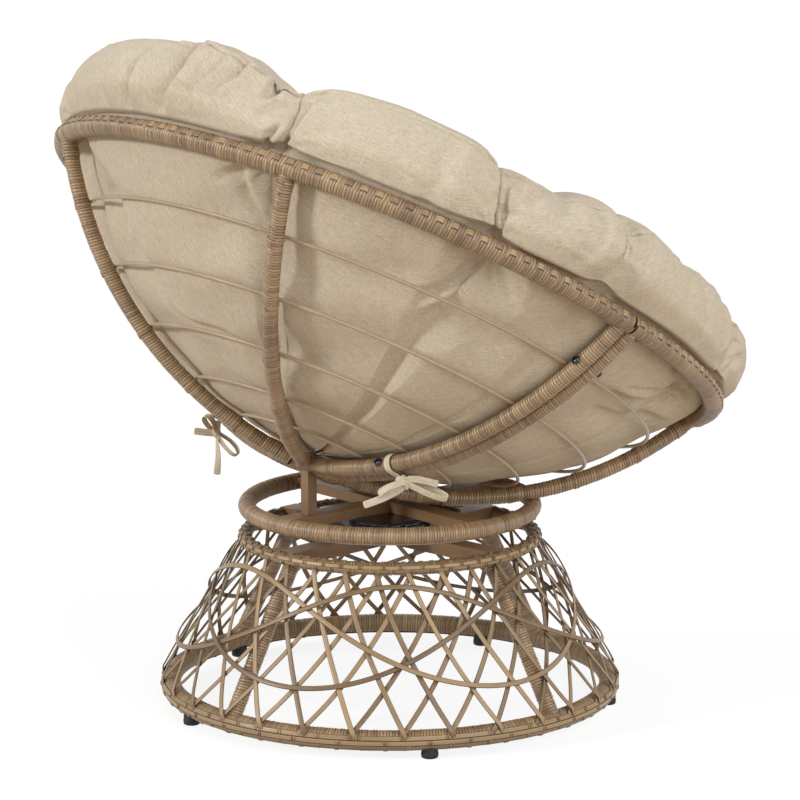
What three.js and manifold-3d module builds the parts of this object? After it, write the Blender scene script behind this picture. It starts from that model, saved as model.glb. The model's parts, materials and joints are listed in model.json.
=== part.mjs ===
// A papasan chair: a round wicker bowl seat with a thick tufted cushion, on a swivel over a woven skirt base.
// Millimetres. Z is up, the floor is Z = 0, the chair faces -Y, and the sitter's left is +X.

import * as THREE from 'three';
import { mergeVertices } from 'three/addons/utils/BufferGeometryUtils.js';
import Module from 'manifold-3d';

const wasm = await Module();
wasm.setup();

const degree = Math.PI / 180;

// Fits
const seatGap = 0.3; // between two pieces that rest on each other
const bowlGap = 0.6; // between the swivel ring and the ribs that rest on it
const runGap = 0.5; // between two pieces that slide past each other

// Bowl frame
const rimRadius = 494; // to the middle of the rim's tube
const rimTubeRadius = 14;
const bowlDepth = 289; // from the rim's plane to the deepest tube's middle
const bowlTilt = 29.8 * degree;
const bowlBack = 6; // the rim's middle lies this far behind the swivel's axis
const ribTubeRadius = 11;
const ribAngle = 29.5 * degree; // from the line that runs straight up the back, or down the front
const ribStart = 24.5; // the ribs begin this far from the pole
const seamTubeRadius = 11;
const rodRadius = 2.5;
const rodPolarShares = [0.832, 0.667, 0.502, 0.338, 0.198];

// Bolts that clamp the two bowl halves, and those that hold the bowl on the swivel ring
const boltRadius = 3;
const boltHeadRadius = 6.5;
const boltHeadHeight = 4.5;
const nutRadius = 6;
const nutHeight = 5;
const boltPolarShares = [0.863, 0.272];
const ribBoltReach = 14; // how far a seat bolt reaches into the rib

// Swivel frame under the bowl
const swivelRingRadius = 205;
const swivelRingTubeRadius = 12.5;
const upperArmWidth = 30;
const upperArmDepth = 15;
const postWidth = 16;
const postRecess = 4; // the post's top lies this far under the pole, between the two seam tubes

// Swivel bearing
const swivelPlateWidth = 152;
const swivelPlateThickness = 3;
const swivelPlateCorner = 14;
const swivelStack = 27; // from the lower arms' top to the upper arms' underside
const ballRadius = 5;
const ballCircleRadius = 50;
const ballCount = 9;
const raceWidth = 19;
const raceParting = 3.6; // between the two races
const cageWidth = 6;
const cageThickness = 2;
const pivotRadius = 6;
const pivotHeadRadius = 11;
const pivotHeadHeight = 3;
const plateStudRadius = 5;
const plateStudHeight = 3;
const plateStudInset = 10.5; // from the plate's edge, over the arm

// Base frame
const baseTurn = 5.5 * degree; // the base stands turned under the seat
const topRingRadius = 208;
const topRingTubeRadius = 10;
const topRingHeight = 239;
const bottomRingRadius = 316;
const bottomRingTubeRadius = 15;
const legRadius = 11.5;
const legCount = 4;
const lowerArmWidth = 30;
const lowerArmDepth = 20;
const lowerArmRise = 1; // the lower arms' middle lies this far above the top ring's
const glideRadius = 12;
const glideHeight = 11; // from the floor to the bottom ring
const glideTuck = 5; // how far a glide reaches up round the ring
const glideEdge = 2;
const glideCount = 5;

// Woven skirt
const strandWidth = 7;
const strandThickness = 2;
const strandGap = 0.5;
const strandCount = 30;
const strandStart = 5 * degree;
const innerLean = 28.5 * degree; // how far an inner strand turns on its way up
const outerLean = -19.5 * degree;
const strandBend = 2; // straight stretches in one strand
const bindingWidth = 6;
const bindingThickness = 3;
const bottomTieAngle = 50 * degree; // where the strands meet the bottom ring, up from its outside
const topTieAngle = 45 * degree; // and the top ring, down from its outside
const waveCount = 3;
const waveClimbs = 2; // climbs and falls of one hoop on its way round
const waveStart = 107 * degree;
const waveLowShare = 0.24; // lowest and highest place on the skirt, as shares of its height
const waveHighShare = 0.93;
const waveSteps = 48;
const waveGap = 0.7;

// Cushion
const cushionGap = 0.3; // between the cushion and the rods that it lies on
const cushionThickness = 121;
const lipHeight = 137; // above the rim's plane
const lipOverhang = 14; // past the rim's outer face
const lobeCount = 12;
const lobeStart = -2 * degree;
const lobeColumns = 4;
const shellShare = 0.93; // how far up the bowl the cushion's underside follows it
// The outline beyond the underside, out and up over the rim, then in and down to the middle of the seat
const lipShares = [
  [-0.72, 0.03], [-0.05, 0.17], [0.8, 0.3], [1, 0.52], [0.72, 0.76], [-0.1, 0.94], [-1.3, 1],
];
const dishShares = [
  [0.83, 0.95], [0.73, 0.8], [0.64, 0.61], [0.52, 0.37], [0.38, 0.16], [0.2, 0.04], [0, 0],
];
const pullRiseShares = [0.08, 0.25]; // where on that outline the creases begin to draw it in, and do so fully
const pullFallShares = [0.45, 0.8]; // and where they stop
const seatShare = 0.4; // from here on the outline is the upper side, which the tufts draw down
const creaseShare = 0.42;
const creaseSharpShare = 0.6;
const creaseDepthShares = [0.4, 1, 0.95, 0.65, 0.8, 0.95, 0.7, 0.9, 0.65, 0.8, 0.9, 0.55];
const tuftDepth = 30;
const tuftSpread = 44;
const outerTuftShare = 0.6; // how far out the outer ring of tufts lies, as a share of the rim's radius
const innerTuftShare = 0.27;

// Ties that hold the cushion to the seam
const tieWidth = 8;
const tieThickness = 1.2;
const tieKnotWidth = 13;
const tieKnotHeight = 10;
const tieKnotDepth = 8;
const tieLoopLength = 50;
const tieTailLength = 46;
const tieRightPolarShare = 0.3;
const tieLeftPolarShare = 0.38;
const tieRightLean = 8 * degree;
const tieLeftLean = -6 * degree;
// Along the seam, across it and away from it, as shares of the loop's or the tail's length
const tieLoopShares = [
  [0.08, 0.04, 0], [0.45, 0.22, 0.05], [0.92, 0.18, 0.08],
  [0.98, -0.04, 0.08], [0.5, -0.14, 0.04], [0.08, -0.03, 0],
];
const tieTailShares = [[0.03, -0.09, 0], [0.4, -0.32, 0.03], [0.75, -0.44, 0.1], [1, -0.64, 0.12]];
const tieFallenTailShares = [[-0.02, -0.11, 0], [-0.3, -0.4, 0.03], [-0.56, -0.55, 0.1], [-0.75, -0.8, 0.12]];
const tapeSteps = 7;

// Facets
const tubeSides = 8;
const ringSteps = 40;
const smallRingSteps = 36;
const raceSteps = 18;
const halfRimSteps = 24;
const seamSteps = 24;
const ribSteps = 12;
const rodSides = 6;
const rodSteps = [18, 16, 12, 9, 7];
const boltSides = 6;
const glideSides = 12;
const shellRings = 8;
const lipRings = 15;

// Colours and finishes
function finish(color, roughness, metalness) {
  return new THREE.MeshStandardMaterial({ color, roughness, metalness });
}
const wickerFinish = () => finish(0xa3835f, 0.62, 0);
const darkWickerFinish = () => finish(0x8d6f50, 0.64, 0);
const strandFinish = () => finish(0xa98a68, 0.6, 0);
const rodFinish = () => finish(0xb09878, 0.5, 0);
const paintFinish = () => finish(0x86684b, 0.45, 0.2);
const blackSteelFinish = () => finish(0x141318, 0.25, 0.8);
const brightSteelFinish = () => finish(0x9a9a98, 0.3, 0.9);
const rubberFinish = () => finish(0x17171a, 0.7, 0);
const fabricFinish = () => finish(0xcdb999, 0.92, 0);
const tieFinish = () => finish(0xc9b494, 0.92, 0);

// Joining and cutting
function solidOf(geometry) {
  const bare = geometry.clone();
  bare.deleteAttribute('normal');
  bare.deleteAttribute('uv');
  const merged = mergeVertices(bare);
  const vertProperties = new Float32Array(merged.attributes.position.array);
  const triVerts = new Uint32Array(merged.index.array);
  return new wasm.Manifold(new wasm.Mesh({ numProp: 3, vertProperties, triVerts }));
}

function geometryOf(solid) {
  const mesh = solid.getMesh();
  const geometry = new THREE.BufferGeometry();
  geometry.setAttribute('position', new THREE.BufferAttribute(new Float32Array(mesh.vertProperties), 3));
  geometry.setIndex(new THREE.BufferAttribute(new Uint32Array(mesh.triVerts), 1));
  return geometry;
}

function join(geometries) {
  let solid = solidOf(geometries[0]);
  for (const geometry of geometries.slice(1)) {
    solid = solid.add(solidOf(geometry));
  }
  return geometryOf(solid);
}

function cut(geometry, cutters) {
  let solid = solidOf(geometry);
  for (const cutter of cutters) {
    solid = solid.subtract(solidOf(cutter));
  }
  return geometryOf(solid);
}

// A piece as a named mesh in its group
function piece(name, geometry, material, group) {
  const flat = geometry.index ? geometry.toNonIndexed() : geometry;
  flat.computeVertexNormals();
  const mesh = new THREE.Mesh(flat, material);
  mesh.name = name;
  group.add(mesh);
  return mesh;
}

// An arc about a centre, in the plane of its two radius vectors
class Arc extends THREE.Curve {
  constructor(centre, first, second, from, to) {
    super();
    Object.assign(this, { centre, first, second, from, to });
  }

  getPoint(share, target = new THREE.Vector3()) {
    const angle = this.from + (this.to - this.from) * share;
    target.copy(this.centre);
    target.addScaledVector(this.first, Math.cos(angle));
    return target.addScaledVector(this.second, Math.sin(angle));
  }
}

function section(radius, sides) {
  const points = [];
  for (let i = 0; i < sides; i++) {
    const angle = (2 * Math.PI * i) / sides;
    points.push(new THREE.Vector2(radius * Math.cos(angle), radius * Math.sin(angle)));
  }
  return new THREE.Shape(points);
}

function tubeAlong(path, radius, sides, steps) {
  return new THREE.ExtrudeGeometry(section(radius, sides), { steps, bevelEnabled: false, extrudePath: path });
}

function ringTube(radius, tubeRadius, steps, height) {
  return new THREE.TorusGeometry(radius, tubeRadius, tubeSides, steps).translate(0, 0, height);
}

// A round pin along Z, from one height to another
function pin(radius, from, to, sides) {
  return new THREE.CylinderGeometry(radius, radius, to - from, sides)
    .rotateX(Math.PI / 2)
    .translate(0, 0, (from + to) / 2);
}

function block(width, length, height, middle) {
  return new THREE.BoxGeometry(width, length, height).translate(middle.x, middle.y, middle.z);
}

// A flat strip through stations, each with its point, the direction of its width and its outward direction
function strip(stations, width, thickness, closed) {
  const positions = [];
  for (const { point, across, out } of stations) {
    for (const [a, b] of [[-1, -1], [1, -1], [1, 1], [-1, 1]]) {
      const corner = point.clone();
      corner.addScaledVector(across, (a * width) / 2);
      corner.addScaledVector(out, (b * thickness) / 2);
      positions.push(corner.x, corner.y, corner.z);
    }
  }
  const index = [];
  const count = stations.length;
  const spans = closed ? count : count - 1;
  for (let i = 0; i < spans; i++) {
    const here = 4 * i;
    const next = 4 * ((i + 1) % count);
    for (let k = 0; k < 4; k++) {
      const l = (k + 1) % 4;
      index.push(here + k, here + l, next + l, here + k, next + l, next + k);
    }
  }
  if (!closed) {
    const last = 4 * (count - 1);
    index.push(0, 2, 1, 0, 3, 2, last, last + 1, last + 2, last, last + 2, last + 3);
  }
  return facingOut(positions, index);
}

// A closed mesh with its faces pointing out
function facingOut(positions, index) {
  const corner = (i) => new THREE.Vector3().fromArray(positions, 3 * i);
  let volume = 0;
  for (let i = 0; i < index.length; i += 3) {
    volume += corner(index[i]).dot(corner(index[i + 1]).cross(corner(index[i + 2])));
  }
  if (volume < 0) {
    index.reverse();
  }
  const geometry = new THREE.BufferGeometry();
  geometry.setAttribute('position', new THREE.Float32BufferAttribute(positions, 3));
  geometry.setIndex(index);
  return geometry;
}

// Heights of the base, from the floor up
const bottomRingHeight = glideHeight + bottomRingTubeRadius;
const lowerArmTop = topRingHeight + lowerArmRise + lowerArmDepth / 2;
const upperArmUnderside = lowerArmTop + swivelStack;
const swivelRingHeight = upperArmUnderside + upperArmDepth / 2;
const ballHeight = (lowerArmTop + upperArmUnderside) / 2;

// The skirt's cone, between the places where its strands are tied to the two rings
const layerOffset = (bindingThickness + strandGap) / 2;
const tieClearance = layerOffset + bindingThickness / 2 + seatGap;
const skirtBottomRadius = bottomRingRadius + (bottomRingTubeRadius + tieClearance) * Math.cos(bottomTieAngle);
const skirtBottomHeight = bottomRingHeight + (bottomRingTubeRadius + tieClearance) * Math.sin(bottomTieAngle);
const skirtTopRadius = topRingRadius + (topRingTubeRadius + tieClearance) * Math.cos(topTieAngle);
const skirtTopHeight = topRingHeight - (topRingTubeRadius + tieClearance) * Math.sin(topTieAngle);
const skirtSlope = Math.atan2(skirtBottomRadius - skirtTopRadius, skirtTopHeight - skirtBottomHeight);

function skirtOut(angle) {
  const flat = Math.cos(skirtSlope);
  return new THREE.Vector3(flat * Math.cos(angle), flat * Math.sin(angle), Math.sin(skirtSlope));
}

function skirtPoint(angle, share, offset) {
  const radius = THREE.MathUtils.lerp(skirtBottomRadius, skirtTopRadius, share);
  const height = THREE.MathUtils.lerp(skirtBottomHeight, skirtTopHeight, share);
  const point = new THREE.Vector3(radius * Math.cos(angle), radius * Math.sin(angle), height);
  return point.addScaledVector(skirtOut(angle), offset);
}

// A strip that lies on the cone, along a route of angles and shares of the skirt's height
function skirtStrip(route, offsetAt, width, thickness, closed) {
  const points = route.map(([angle, share], i) => skirtPoint(angle, share, offsetAt(i)));
  const stations = points.map((point, i) => {
    const before = closed || i > 0 ? points.at(i - 1) : point;
    const after = closed || i < points.length - 1 ? points[(i + 1) % points.length] : point;
    const out = skirtOut(route[i][0]);
    const across = after.clone().sub(before).cross(out).normalize();
    return { point, across, out };
  });
  return strip(stations, width, thickness, closed);
}

// A strand leans round the cone on its way up, and both its ends lie inside its layer's bindings
function strand(start, lean, inset, offset) {
  const route = [];
  for (let i = 0; i <= strandBend; i++) {
    const share = i / strandBend;
    route.push([start + lean * share, THREE.MathUtils.lerp(inset, 1 - inset, share)]);
  }
  return skirtStrip(route, () => offset, strandWidth, strandThickness, false);
}

// The lengthwise strip that binds the ends of one layer's strands
function binding(start, share, steps, offset) {
  const route = [];
  for (let i = 0; i < steps; i++) {
    route.push([start + (2 * Math.PI * i) / steps, share]);
  }
  return skirtStrip(route, () => offset, bindingWidth, bindingThickness, true);
}

function skirtLayer(lean, offset) {
  const skirtLength = (skirtTopHeight - skirtBottomHeight) / Math.cos(skirtSlope);
  const inset = bindingWidth / 2 / skirtLength;
  const strips = [
    binding(strandStart, inset, strandCount, offset),
    binding(strandStart + lean, 1 - inset, strandCount, offset),
  ];
  for (let i = 0; i < strandCount; i++) {
    strips.push(strand(strandStart + (2 * Math.PI * i) / strandCount, lean, inset, offset));
  }
  return join(strips);
}

// A wave hoop climbs and falls on its way round, and passes over one of its fellows and under the other
function waveHoop(order) {
  const middleShare = (waveHighShare + waveLowShare) / 2;
  const swingShare = (waveHighShare - waveLowShare) / 2;
  const valley = waveStart + (order * 2 * Math.PI) / waveCount / waveClimbs;
  const passing = Math.PI / waveCount / waveClimbs;
  const sway = (strandThickness + waveGap) / 2 / Math.cos(passing) + waveGap / 2;
  const middle = layerOffset + strandThickness + waveGap + sway;
  const route = [];
  for (let i = 0; i < waveSteps; i++) {
    const round = (2 * Math.PI * i) / waveSteps;
    route.push([valley + round, middleShare - swingShare * Math.cos(waveClimbs * round)]);
  }
  const offsetAt = (i) => middle - sway * Math.sin((2 * waveClimbs * 2 * Math.PI * i) / waveSteps);
  return skirtStrip(route, offsetAt, strandWidth, strandThickness, true);
}

// The three rings, each at its own size or larger by some clearance
function bottomRing(extra) {
  return ringTube(bottomRingRadius, bottomRingTubeRadius + extra, ringSteps, bottomRingHeight);
}

function topRing(extra) {
  return ringTube(topRingRadius, topRingTubeRadius + extra, smallRingSteps, topRingHeight);
}

function swivelRing(extra) {
  return ringTube(swivelRingRadius, swivelRingTubeRadius + extra, smallRingSteps, swivelRingHeight);
}

// Two crossed arms that reach a ring's middle, before the ring is cut out of their ends
function crossedArms(reach, width, depth, height, extra) {
  const middle = new THREE.Vector3(0, 0, height);
  const long = 2 * reach;
  return join([
    block(long, width + 2 * extra, depth + 2 * extra, middle),
    block(width + 2 * extra, long, depth + 2 * extra, middle),
  ]);
}

function lowerArms(extra) {
  return crossedArms(topRingRadius, lowerArmWidth, lowerArmDepth, topRingHeight + lowerArmRise, extra);
}

function lowerCross() {
  const recess = pivotHeadHeight + runGap;
  const pocket = pin(pivotHeadRadius + runGap, lowerArmTop - recess, lowerArmTop + recess, glideSides);
  return cut(lowerArms(0), [topRing(seatGap), pocket]);
}

// A leg runs inside the skirt, from the bottom ring to the corner under the top ring and an arm
function leg(angle) {
  const sag = skirtBottomRadius * (1 - Math.cos(innerLean / (2 * strandBend)));
  const inset = legRadius + layerOffset + strandThickness / 2 + sag + runGap;
  const at = (height) => {
    const share = (height - skirtBottomHeight) / (skirtTopHeight - skirtBottomHeight);
    const cone = THREE.MathUtils.lerp(skirtBottomRadius, skirtTopRadius, share);
    const radius = cone - inset / Math.cos(skirtSlope);
    return new THREE.Vector3(radius * Math.cos(angle), radius * Math.sin(angle), height);
  };
  const path = new THREE.LineCurve3(at(bottomRingHeight), at(topRingHeight));
  const whole = tubeAlong(path, legRadius, tubeSides, 1);
  return cut(whole, [bottomRing(seatGap), topRing(seatGap), lowerArms(seatGap)]);
}

function glide(angle) {
  const top = glideHeight + glideTuck;
  const profile = [
    new THREE.Vector2(0, 0),
    new THREE.Vector2(glideRadius - glideEdge, 0),
    new THREE.Vector2(glideRadius, glideEdge),
    new THREE.Vector2(glideRadius, top),
    new THREE.Vector2(0, top),
  ];
  const body = new THREE.LatheGeometry(profile, glideSides).rotateX(Math.PI / 2);
  body.translate(bottomRingRadius * Math.cos(angle), bottomRingRadius * Math.sin(angle), 0);
  return cut(body, [bottomRing(seatGap)]);
}

// Swivel bearing
function plateOutline() {
  const half = swivelPlateWidth / 2;
  const inner = half - swivelPlateCorner;
  const shape = new THREE.Shape();
  shape.absarc(inner, inner, swivelPlateCorner, 0, Math.PI / 2);
  shape.absarc(-inner, inner, swivelPlateCorner, Math.PI / 2, Math.PI);
  shape.absarc(-inner, -inner, swivelPlateCorner, Math.PI, 1.5 * Math.PI);
  shape.absarc(inner, -inner, swivelPlateCorner, 1.5 * Math.PI, 2 * Math.PI);
  return shape;
}

// One half of the bearing, lying on Z = 0 with its race upwards
function bearingHalf() {
  const plate = new THREE.ExtrudeGeometry(plateOutline(), {
    depth: swivelPlateThickness,
    bevelEnabled: false,
    curveSegments: 3,
  });
  const raceTop = swivelStack / 2 - raceParting / 2;
  const raceBottom = swivelPlateThickness / 2;
  const inner = ballCircleRadius - raceWidth / 2;
  const outer = ballCircleRadius + raceWidth / 2;
  const sag = (ballCircleRadius + ballRadius) * (1 - Math.cos(Math.PI / raceSteps));
  const mouth = ballRadius + runGap + sag;
  const floor = mouth / 2;
  const grooveFloor = swivelStack / 2 - ballRadius - runGap;
  const raceProfile = [
    new THREE.Vector2(inner, raceBottom),
    new THREE.Vector2(outer, raceBottom),
    new THREE.Vector2(outer, raceTop),
    new THREE.Vector2(ballCircleRadius + mouth, raceTop),
    new THREE.Vector2(ballCircleRadius + floor, grooveFloor),
    new THREE.Vector2(ballCircleRadius - floor, grooveFloor),
    new THREE.Vector2(ballCircleRadius - mouth, raceTop),
    new THREE.Vector2(inner, raceTop),
    new THREE.Vector2(inner, raceBottom),
  ];
  const race = new THREE.LatheGeometry(raceProfile, raceSteps).rotateX(Math.PI / 2);
  const parts = [plate, race];
  for (const [x, y] of [[1, 0], [0, 1], [-1, 0], [0, -1]]) {
    const reach = swivelPlateWidth / 2 - plateStudInset;
    const stud = pin(plateStudRadius, 0, swivelPlateThickness + plateStudHeight, boltSides);
    parts.push(stud.translate(x * reach, y * reach, 0));
  }
  const hole = pin(pivotRadius + runGap, -swivelPlateThickness, 2 * swivelPlateThickness, glideSides);
  return cut(join(parts), [hole]);
}

function ballCage() {
  const inner = ballCircleRadius - cageWidth / 2;
  const outer = ballCircleRadius + cageWidth / 2;
  const half = cageThickness / 2;
  const profile = [
    new THREE.Vector2(inner, -half),
    new THREE.Vector2(outer, -half),
    new THREE.Vector2(outer, half),
    new THREE.Vector2(inner, half),
    new THREE.Vector2(inner, -half),
  ];
  const parts = [new THREE.LatheGeometry(profile, raceSteps).rotateX(Math.PI / 2)];
  for (let i = 0; i < ballCount; i++) {
    const angle = (2 * Math.PI * i) / ballCount;
    const ball = new THREE.SphereGeometry(ballRadius, 6, 4);
    parts.push(ball.translate(ballCircleRadius * Math.cos(angle), ballCircleRadius * Math.sin(angle), 0));
  }
  return join(parts);
}

function pivotPin() {
  const low = lowerArmTop - pivotHeadHeight;
  const high = upperArmUnderside + pivotHeadHeight;
  const profile = [
    new THREE.Vector2(0, low),
    new THREE.Vector2(pivotHeadRadius, low),
    new THREE.Vector2(pivotHeadRadius, lowerArmTop - seatGap),
    new THREE.Vector2(pivotRadius, lowerArmTop - seatGap),
    new THREE.Vector2(pivotRadius, upperArmUnderside + seatGap),
    new THREE.Vector2(pivotHeadRadius, upperArmUnderside + seatGap),
    new THREE.Vector2(pivotHeadRadius, high),
    new THREE.Vector2(0, high),
  ];
  return new THREE.LatheGeometry(profile, glideSides).rotateX(Math.PI / 2);
}

// Bowl geometry, in the rim's own frame: Z square to the rim's plane, Y up the back
const sphereRadius = (rimRadius ** 2 + bowlDepth ** 2) / (2 * bowlDepth);
const sphereHeight = sphereRadius - bowlDepth;
const rimPolar = Math.asin(rimRadius / sphereRadius);
const seamOffset = seamTubeRadius + seatGap / 2;
const rodSphereRadius = sphereRadius - ribTubeRadius - bowlGap - rodRadius;
const downward = new THREE.Vector3(0, 0, -1);

function compass(azimuth) {
  return new THREE.Vector3(-Math.sin(azimuth), Math.cos(azimuth), 0);
}

function meridian(azimuth, from, to, radius, side) {
  const centre = new THREE.Vector3(0, side, sphereHeight);
  const reach = Math.sqrt(radius ** 2 - side ** 2);
  const first = downward.clone().multiplyScalar(reach);
  const second = compass(azimuth).multiplyScalar(reach);
  return new Arc(centre, first, second, from, to);
}

function parallel(polar, from, to, radius) {
  const centre = new THREE.Vector3(0, 0, sphereHeight - radius * Math.cos(polar));
  const first = compass(0).multiplyScalar(radius * Math.sin(polar));
  const second = compass(Math.PI / 2).multiplyScalar(radius * Math.sin(polar));
  return new Arc(centre, first, second, from, to);
}

// The back half of the bowl runs from -90 to 90 degrees of azimuth, the front half from 90 to 270
const halves = { back: 0, front: Math.PI };
const sideOf = { back: 1, front: -1 };

function halfRim(half, extra) {
  const middle = halves[half];
  const parting = seatGap / 2 / rimRadius;
  const reach = Math.PI / 2 - (extra ? 0 : parting);
  const centre = new THREE.Vector3();
  const first = compass(0).multiplyScalar(rimRadius);
  const second = compass(Math.PI / 2).multiplyScalar(rimRadius);
  const path = new Arc(centre, first, second, middle - reach, middle + reach);
  return tubeAlong(path, rimTubeRadius + extra, tubeSides, halfRimSteps);
}

function seamTube(half, extra) {
  const path = meridian(Math.PI / 2, -rimPolar, rimPolar, sphereRadius, sideOf[half] * seamOffset);
  return tubeAlong(path, seamTubeRadius + extra, tubeSides, seamSteps);
}

const boltPolars = boltPolarShares.flatMap((share) => [share * rimPolar, -share * rimPolar]);

// A place on the seam, with Z pointing out of the bowl and Y square to the seam's plane
function placeOnSeam(polar) {
  const out = new THREE.Vector3(-Math.sin(polar), 0, -Math.cos(polar));
  const square = new THREE.Vector3(0, 1, 0);
  const along = square.clone().cross(out);
  const place = new THREE.Matrix4().makeBasis(along, square, out);
  const point = out.clone().multiplyScalar(sphereRadius);
  point.z += sphereHeight;
  return place.setPosition(point);
}

function seamHole(polar) {
  const reach = 2 * (seamOffset + seamTubeRadius);
  const hole = pin(boltRadius + seatGap, -reach, reach, boltSides).rotateX(Math.PI / 2);
  return hole.applyMatrix4(placeOnSeam(polar));
}

function boltedSeam(half) {
  const holes = boltPolars.map(seamHole);
  return cut(seamTube(half, 0), [...holes, halfRim(half, seatGap)]);
}

// A bolt along Z, with its domed head's underside at Z = 0 and its shank downwards
function bolt(length) {
  const profile = [
    new THREE.Vector2(0, -length),
    new THREE.Vector2(boltRadius, -length),
    new THREE.Vector2(boltRadius, 0),
    new THREE.Vector2(boltHeadRadius, 0),
    new THREE.Vector2(boltHeadRadius, boltHeadHeight / 2),
    new THREE.Vector2(boltHeadRadius / 2, boltHeadHeight),
    new THREE.Vector2(0, boltHeadHeight),
  ];
  return new THREE.LatheGeometry(profile, boltSides).rotateX(Math.PI / 2);
}

function seamBolt(polar) {
  const face = seamOffset + seamTubeRadius + seatGap;
  const length = 2 * face + nutHeight;
  return bolt(length).translate(0, 0, face).rotateX(-Math.PI / 2).applyMatrix4(placeOnSeam(polar));
}

function seamNut(polar) {
  const face = seamOffset + seamTubeRadius + seatGap;
  const inner = boltRadius + seatGap;
  const profile = [
    new THREE.Vector2(inner, 0),
    new THREE.Vector2(nutRadius, 0),
    new THREE.Vector2(nutRadius, nutHeight),
    new THREE.Vector2(inner, nutHeight),
    new THREE.Vector2(inner, 0),
  ];
  const nut = new THREE.LatheGeometry(profile, rodSides).rotateX(Math.PI / 2);
  return nut.translate(0, 0, face).rotateX(Math.PI / 2).applyMatrix4(placeOnSeam(polar));
}

const ribAzimuths = {
  back_right_rib: ribAngle,
  back_left_rib: -ribAngle,
  front_right_rib: Math.PI - ribAngle,
  front_left_rib: Math.PI + ribAngle,
};

function ribPath(azimuth) {
  return meridian(azimuth, Math.asin(ribStart / sphereRadius), rimPolar, sphereRadius, 0);
}

function rib(name, half, extraCutters) {
  const whole = tubeAlong(ribPath(ribAzimuths[name]), ribTubeRadius, tubeSides, ribSteps);
  return cut(whole, [seamTube(half, seatGap), halfRim(half, seatGap), ...extraCutters]);
}

// How far the middle of a rod's straight facet lies inside its arc, measured square to the bowl
function rodSag(level) {
  const polar = rodPolarShares[level] * rimPolar;
  const step = Math.PI / rodSteps[level];
  return rodSphereRadius * Math.sin(polar) ** 2 * (1 - Math.cos(step / 2));
}

function rod(level, half) {
  const polar = rodPolarShares[level] * rimPolar;
  const middle = halves[half];
  const spread = Math.asin(seamOffset / (rodSphereRadius * Math.sin(polar)));
  const reach = Math.PI / 2 - spread;
  const path = parallel(polar, middle - reach, middle + reach, rodSphereRadius);
  return tubeAlong(path, rodRadius, rodSides, rodSteps[level]);
}

// Where a front rib passes over the swivel ring, and how high the rim's middle lies for it to rest there.
// On a tighter bowl the ribs dip inside the ring, and the bowl stands higher by a lift that clears the arms.
function ribSeat() {
  const turn = new THREE.Matrix4().makeRotationX(bowlTilt);
  const pointAt = (polar) => {
    const arc = meridian(Math.PI - ribAngle, polar, polar, sphereRadius, 0);
    const point = arc.getPoint(0).applyMatrix4(turn);
    point.y += bowlBack;
    return point;
  };
  let near = rimPolar / 4;
  let far = rimPolar;
  for (let i = 0; i < 50; i++) {
    const polar = (near + far) / 2;
    const point = pointAt(polar);
    if (Math.hypot(point.x, point.y) < swivelRingRadius) {
      near = polar;
    } else {
      far = polar;
    }
  }
  const point = pointAt(near);
  const along = pointAt(near + degree).sub(pointAt(near - degree)).normalize();
  const round = new THREE.Vector3(-point.y, point.x, 0).normalize();
  const normal = along.clone().cross(round);
  const apart = swivelRingTubeRadius + ribTubeRadius + bowlGap;
  const rise = (apart * normal.length()) / Math.abs(normal.z);
  const resting = swivelRingHeight + rise - point.z;
  let lowest = point.z;
  for (let i = 0; i < ribSteps; i++) {
    lowest = Math.min(lowest, pointAt((near * i) / ribSteps).z);
  }
  const clearing = upperArmUnderside + upperArmDepth + bowlGap + ribTubeRadius - lowest;
  const lift = Math.max(0, clearing - resting);
  return { x: point.x, y: point.y, lift, rimHeight: resting + lift };
}
const seat = ribSeat();

const bowlMatrix = new THREE.Matrix4().makeRotationX(bowlTilt).setPosition(0, bowlBack, seat.rimHeight);
const bowlInverse = bowlMatrix.clone().invert();
const pole = new THREE.Vector3(0, 0, -bowlDepth).applyMatrix4(bowlMatrix);

// A seat bolt stands upright, its head under the swivel ring and its end inside the rib
const seatBoltTop = swivelRingHeight + swivelRingTubeRadius + bowlGap + ribBoltReach + seat.lift;

function seatBoltHole(side) {
  const low = swivelRingHeight - 2 * swivelRingTubeRadius;
  return pin(boltRadius + seatGap, low, seatBoltTop + seatGap, boltSides).translate(side * seat.x, seat.y, 0);
}

function seatBolt(side) {
  const face = swivelRingHeight - swivelRingTubeRadius - seatGap;
  return bolt(seatBoltTop - face).rotateX(Math.PI).translate(side * seat.x, seat.y, face);
}

function drilledSwivelRing() {
  return cut(swivelRing(0), [seatBoltHole(1), seatBoltHole(-1)]);
}

function upperCross() {
  const arms = crossedArms(swivelRingRadius, upperArmWidth, upperArmDepth, swivelRingHeight, 0);
  const recess = pivotHeadHeight + runGap;
  const low = upperArmUnderside - recess;
  const pocket = pin(pivotHeadRadius + runGap, low, upperArmUnderside + recess, glideSides);
  return cut(arms, [swivelRing(seatGap), pocket]);
}

function rearPost() {
  const foot = upperArmUnderside + upperArmDepth + seatGap;
  const top = pole.z - postRecess;
  const middle = new THREE.Vector3(0, pole.y, (foot + top) / 2);
  const whole = block(postWidth, postWidth, top - foot, middle);
  const tubes = ['back', 'front'].map((half) => seamTube(half, seatGap).applyMatrix4(bowlMatrix));
  return cut(whole, tubes);
}

// The cushion's outline from the middle of its underside, over the lip, to the middle of its seat
const deepestSag = Math.max(...rodPolarShares.map((share, level) => rodSag(level)));
const shellRadius = rodSphereRadius - rodRadius - deepestSag - cushionGap;
const dishFloor = sphereHeight - shellRadius + cushionThickness;
const lipReach = rimTubeRadius + lipOverhang;

function lipPoint([outShare, upShare]) {
  return new THREE.Vector2(rimRadius + outShare * lipReach, upShare * lipHeight);
}

function dishPoint([outShare, upShare]) {
  return new THREE.Vector2(outShare * rimRadius, THREE.MathUtils.lerp(dishFloor, lipHeight, upShare));
}

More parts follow.
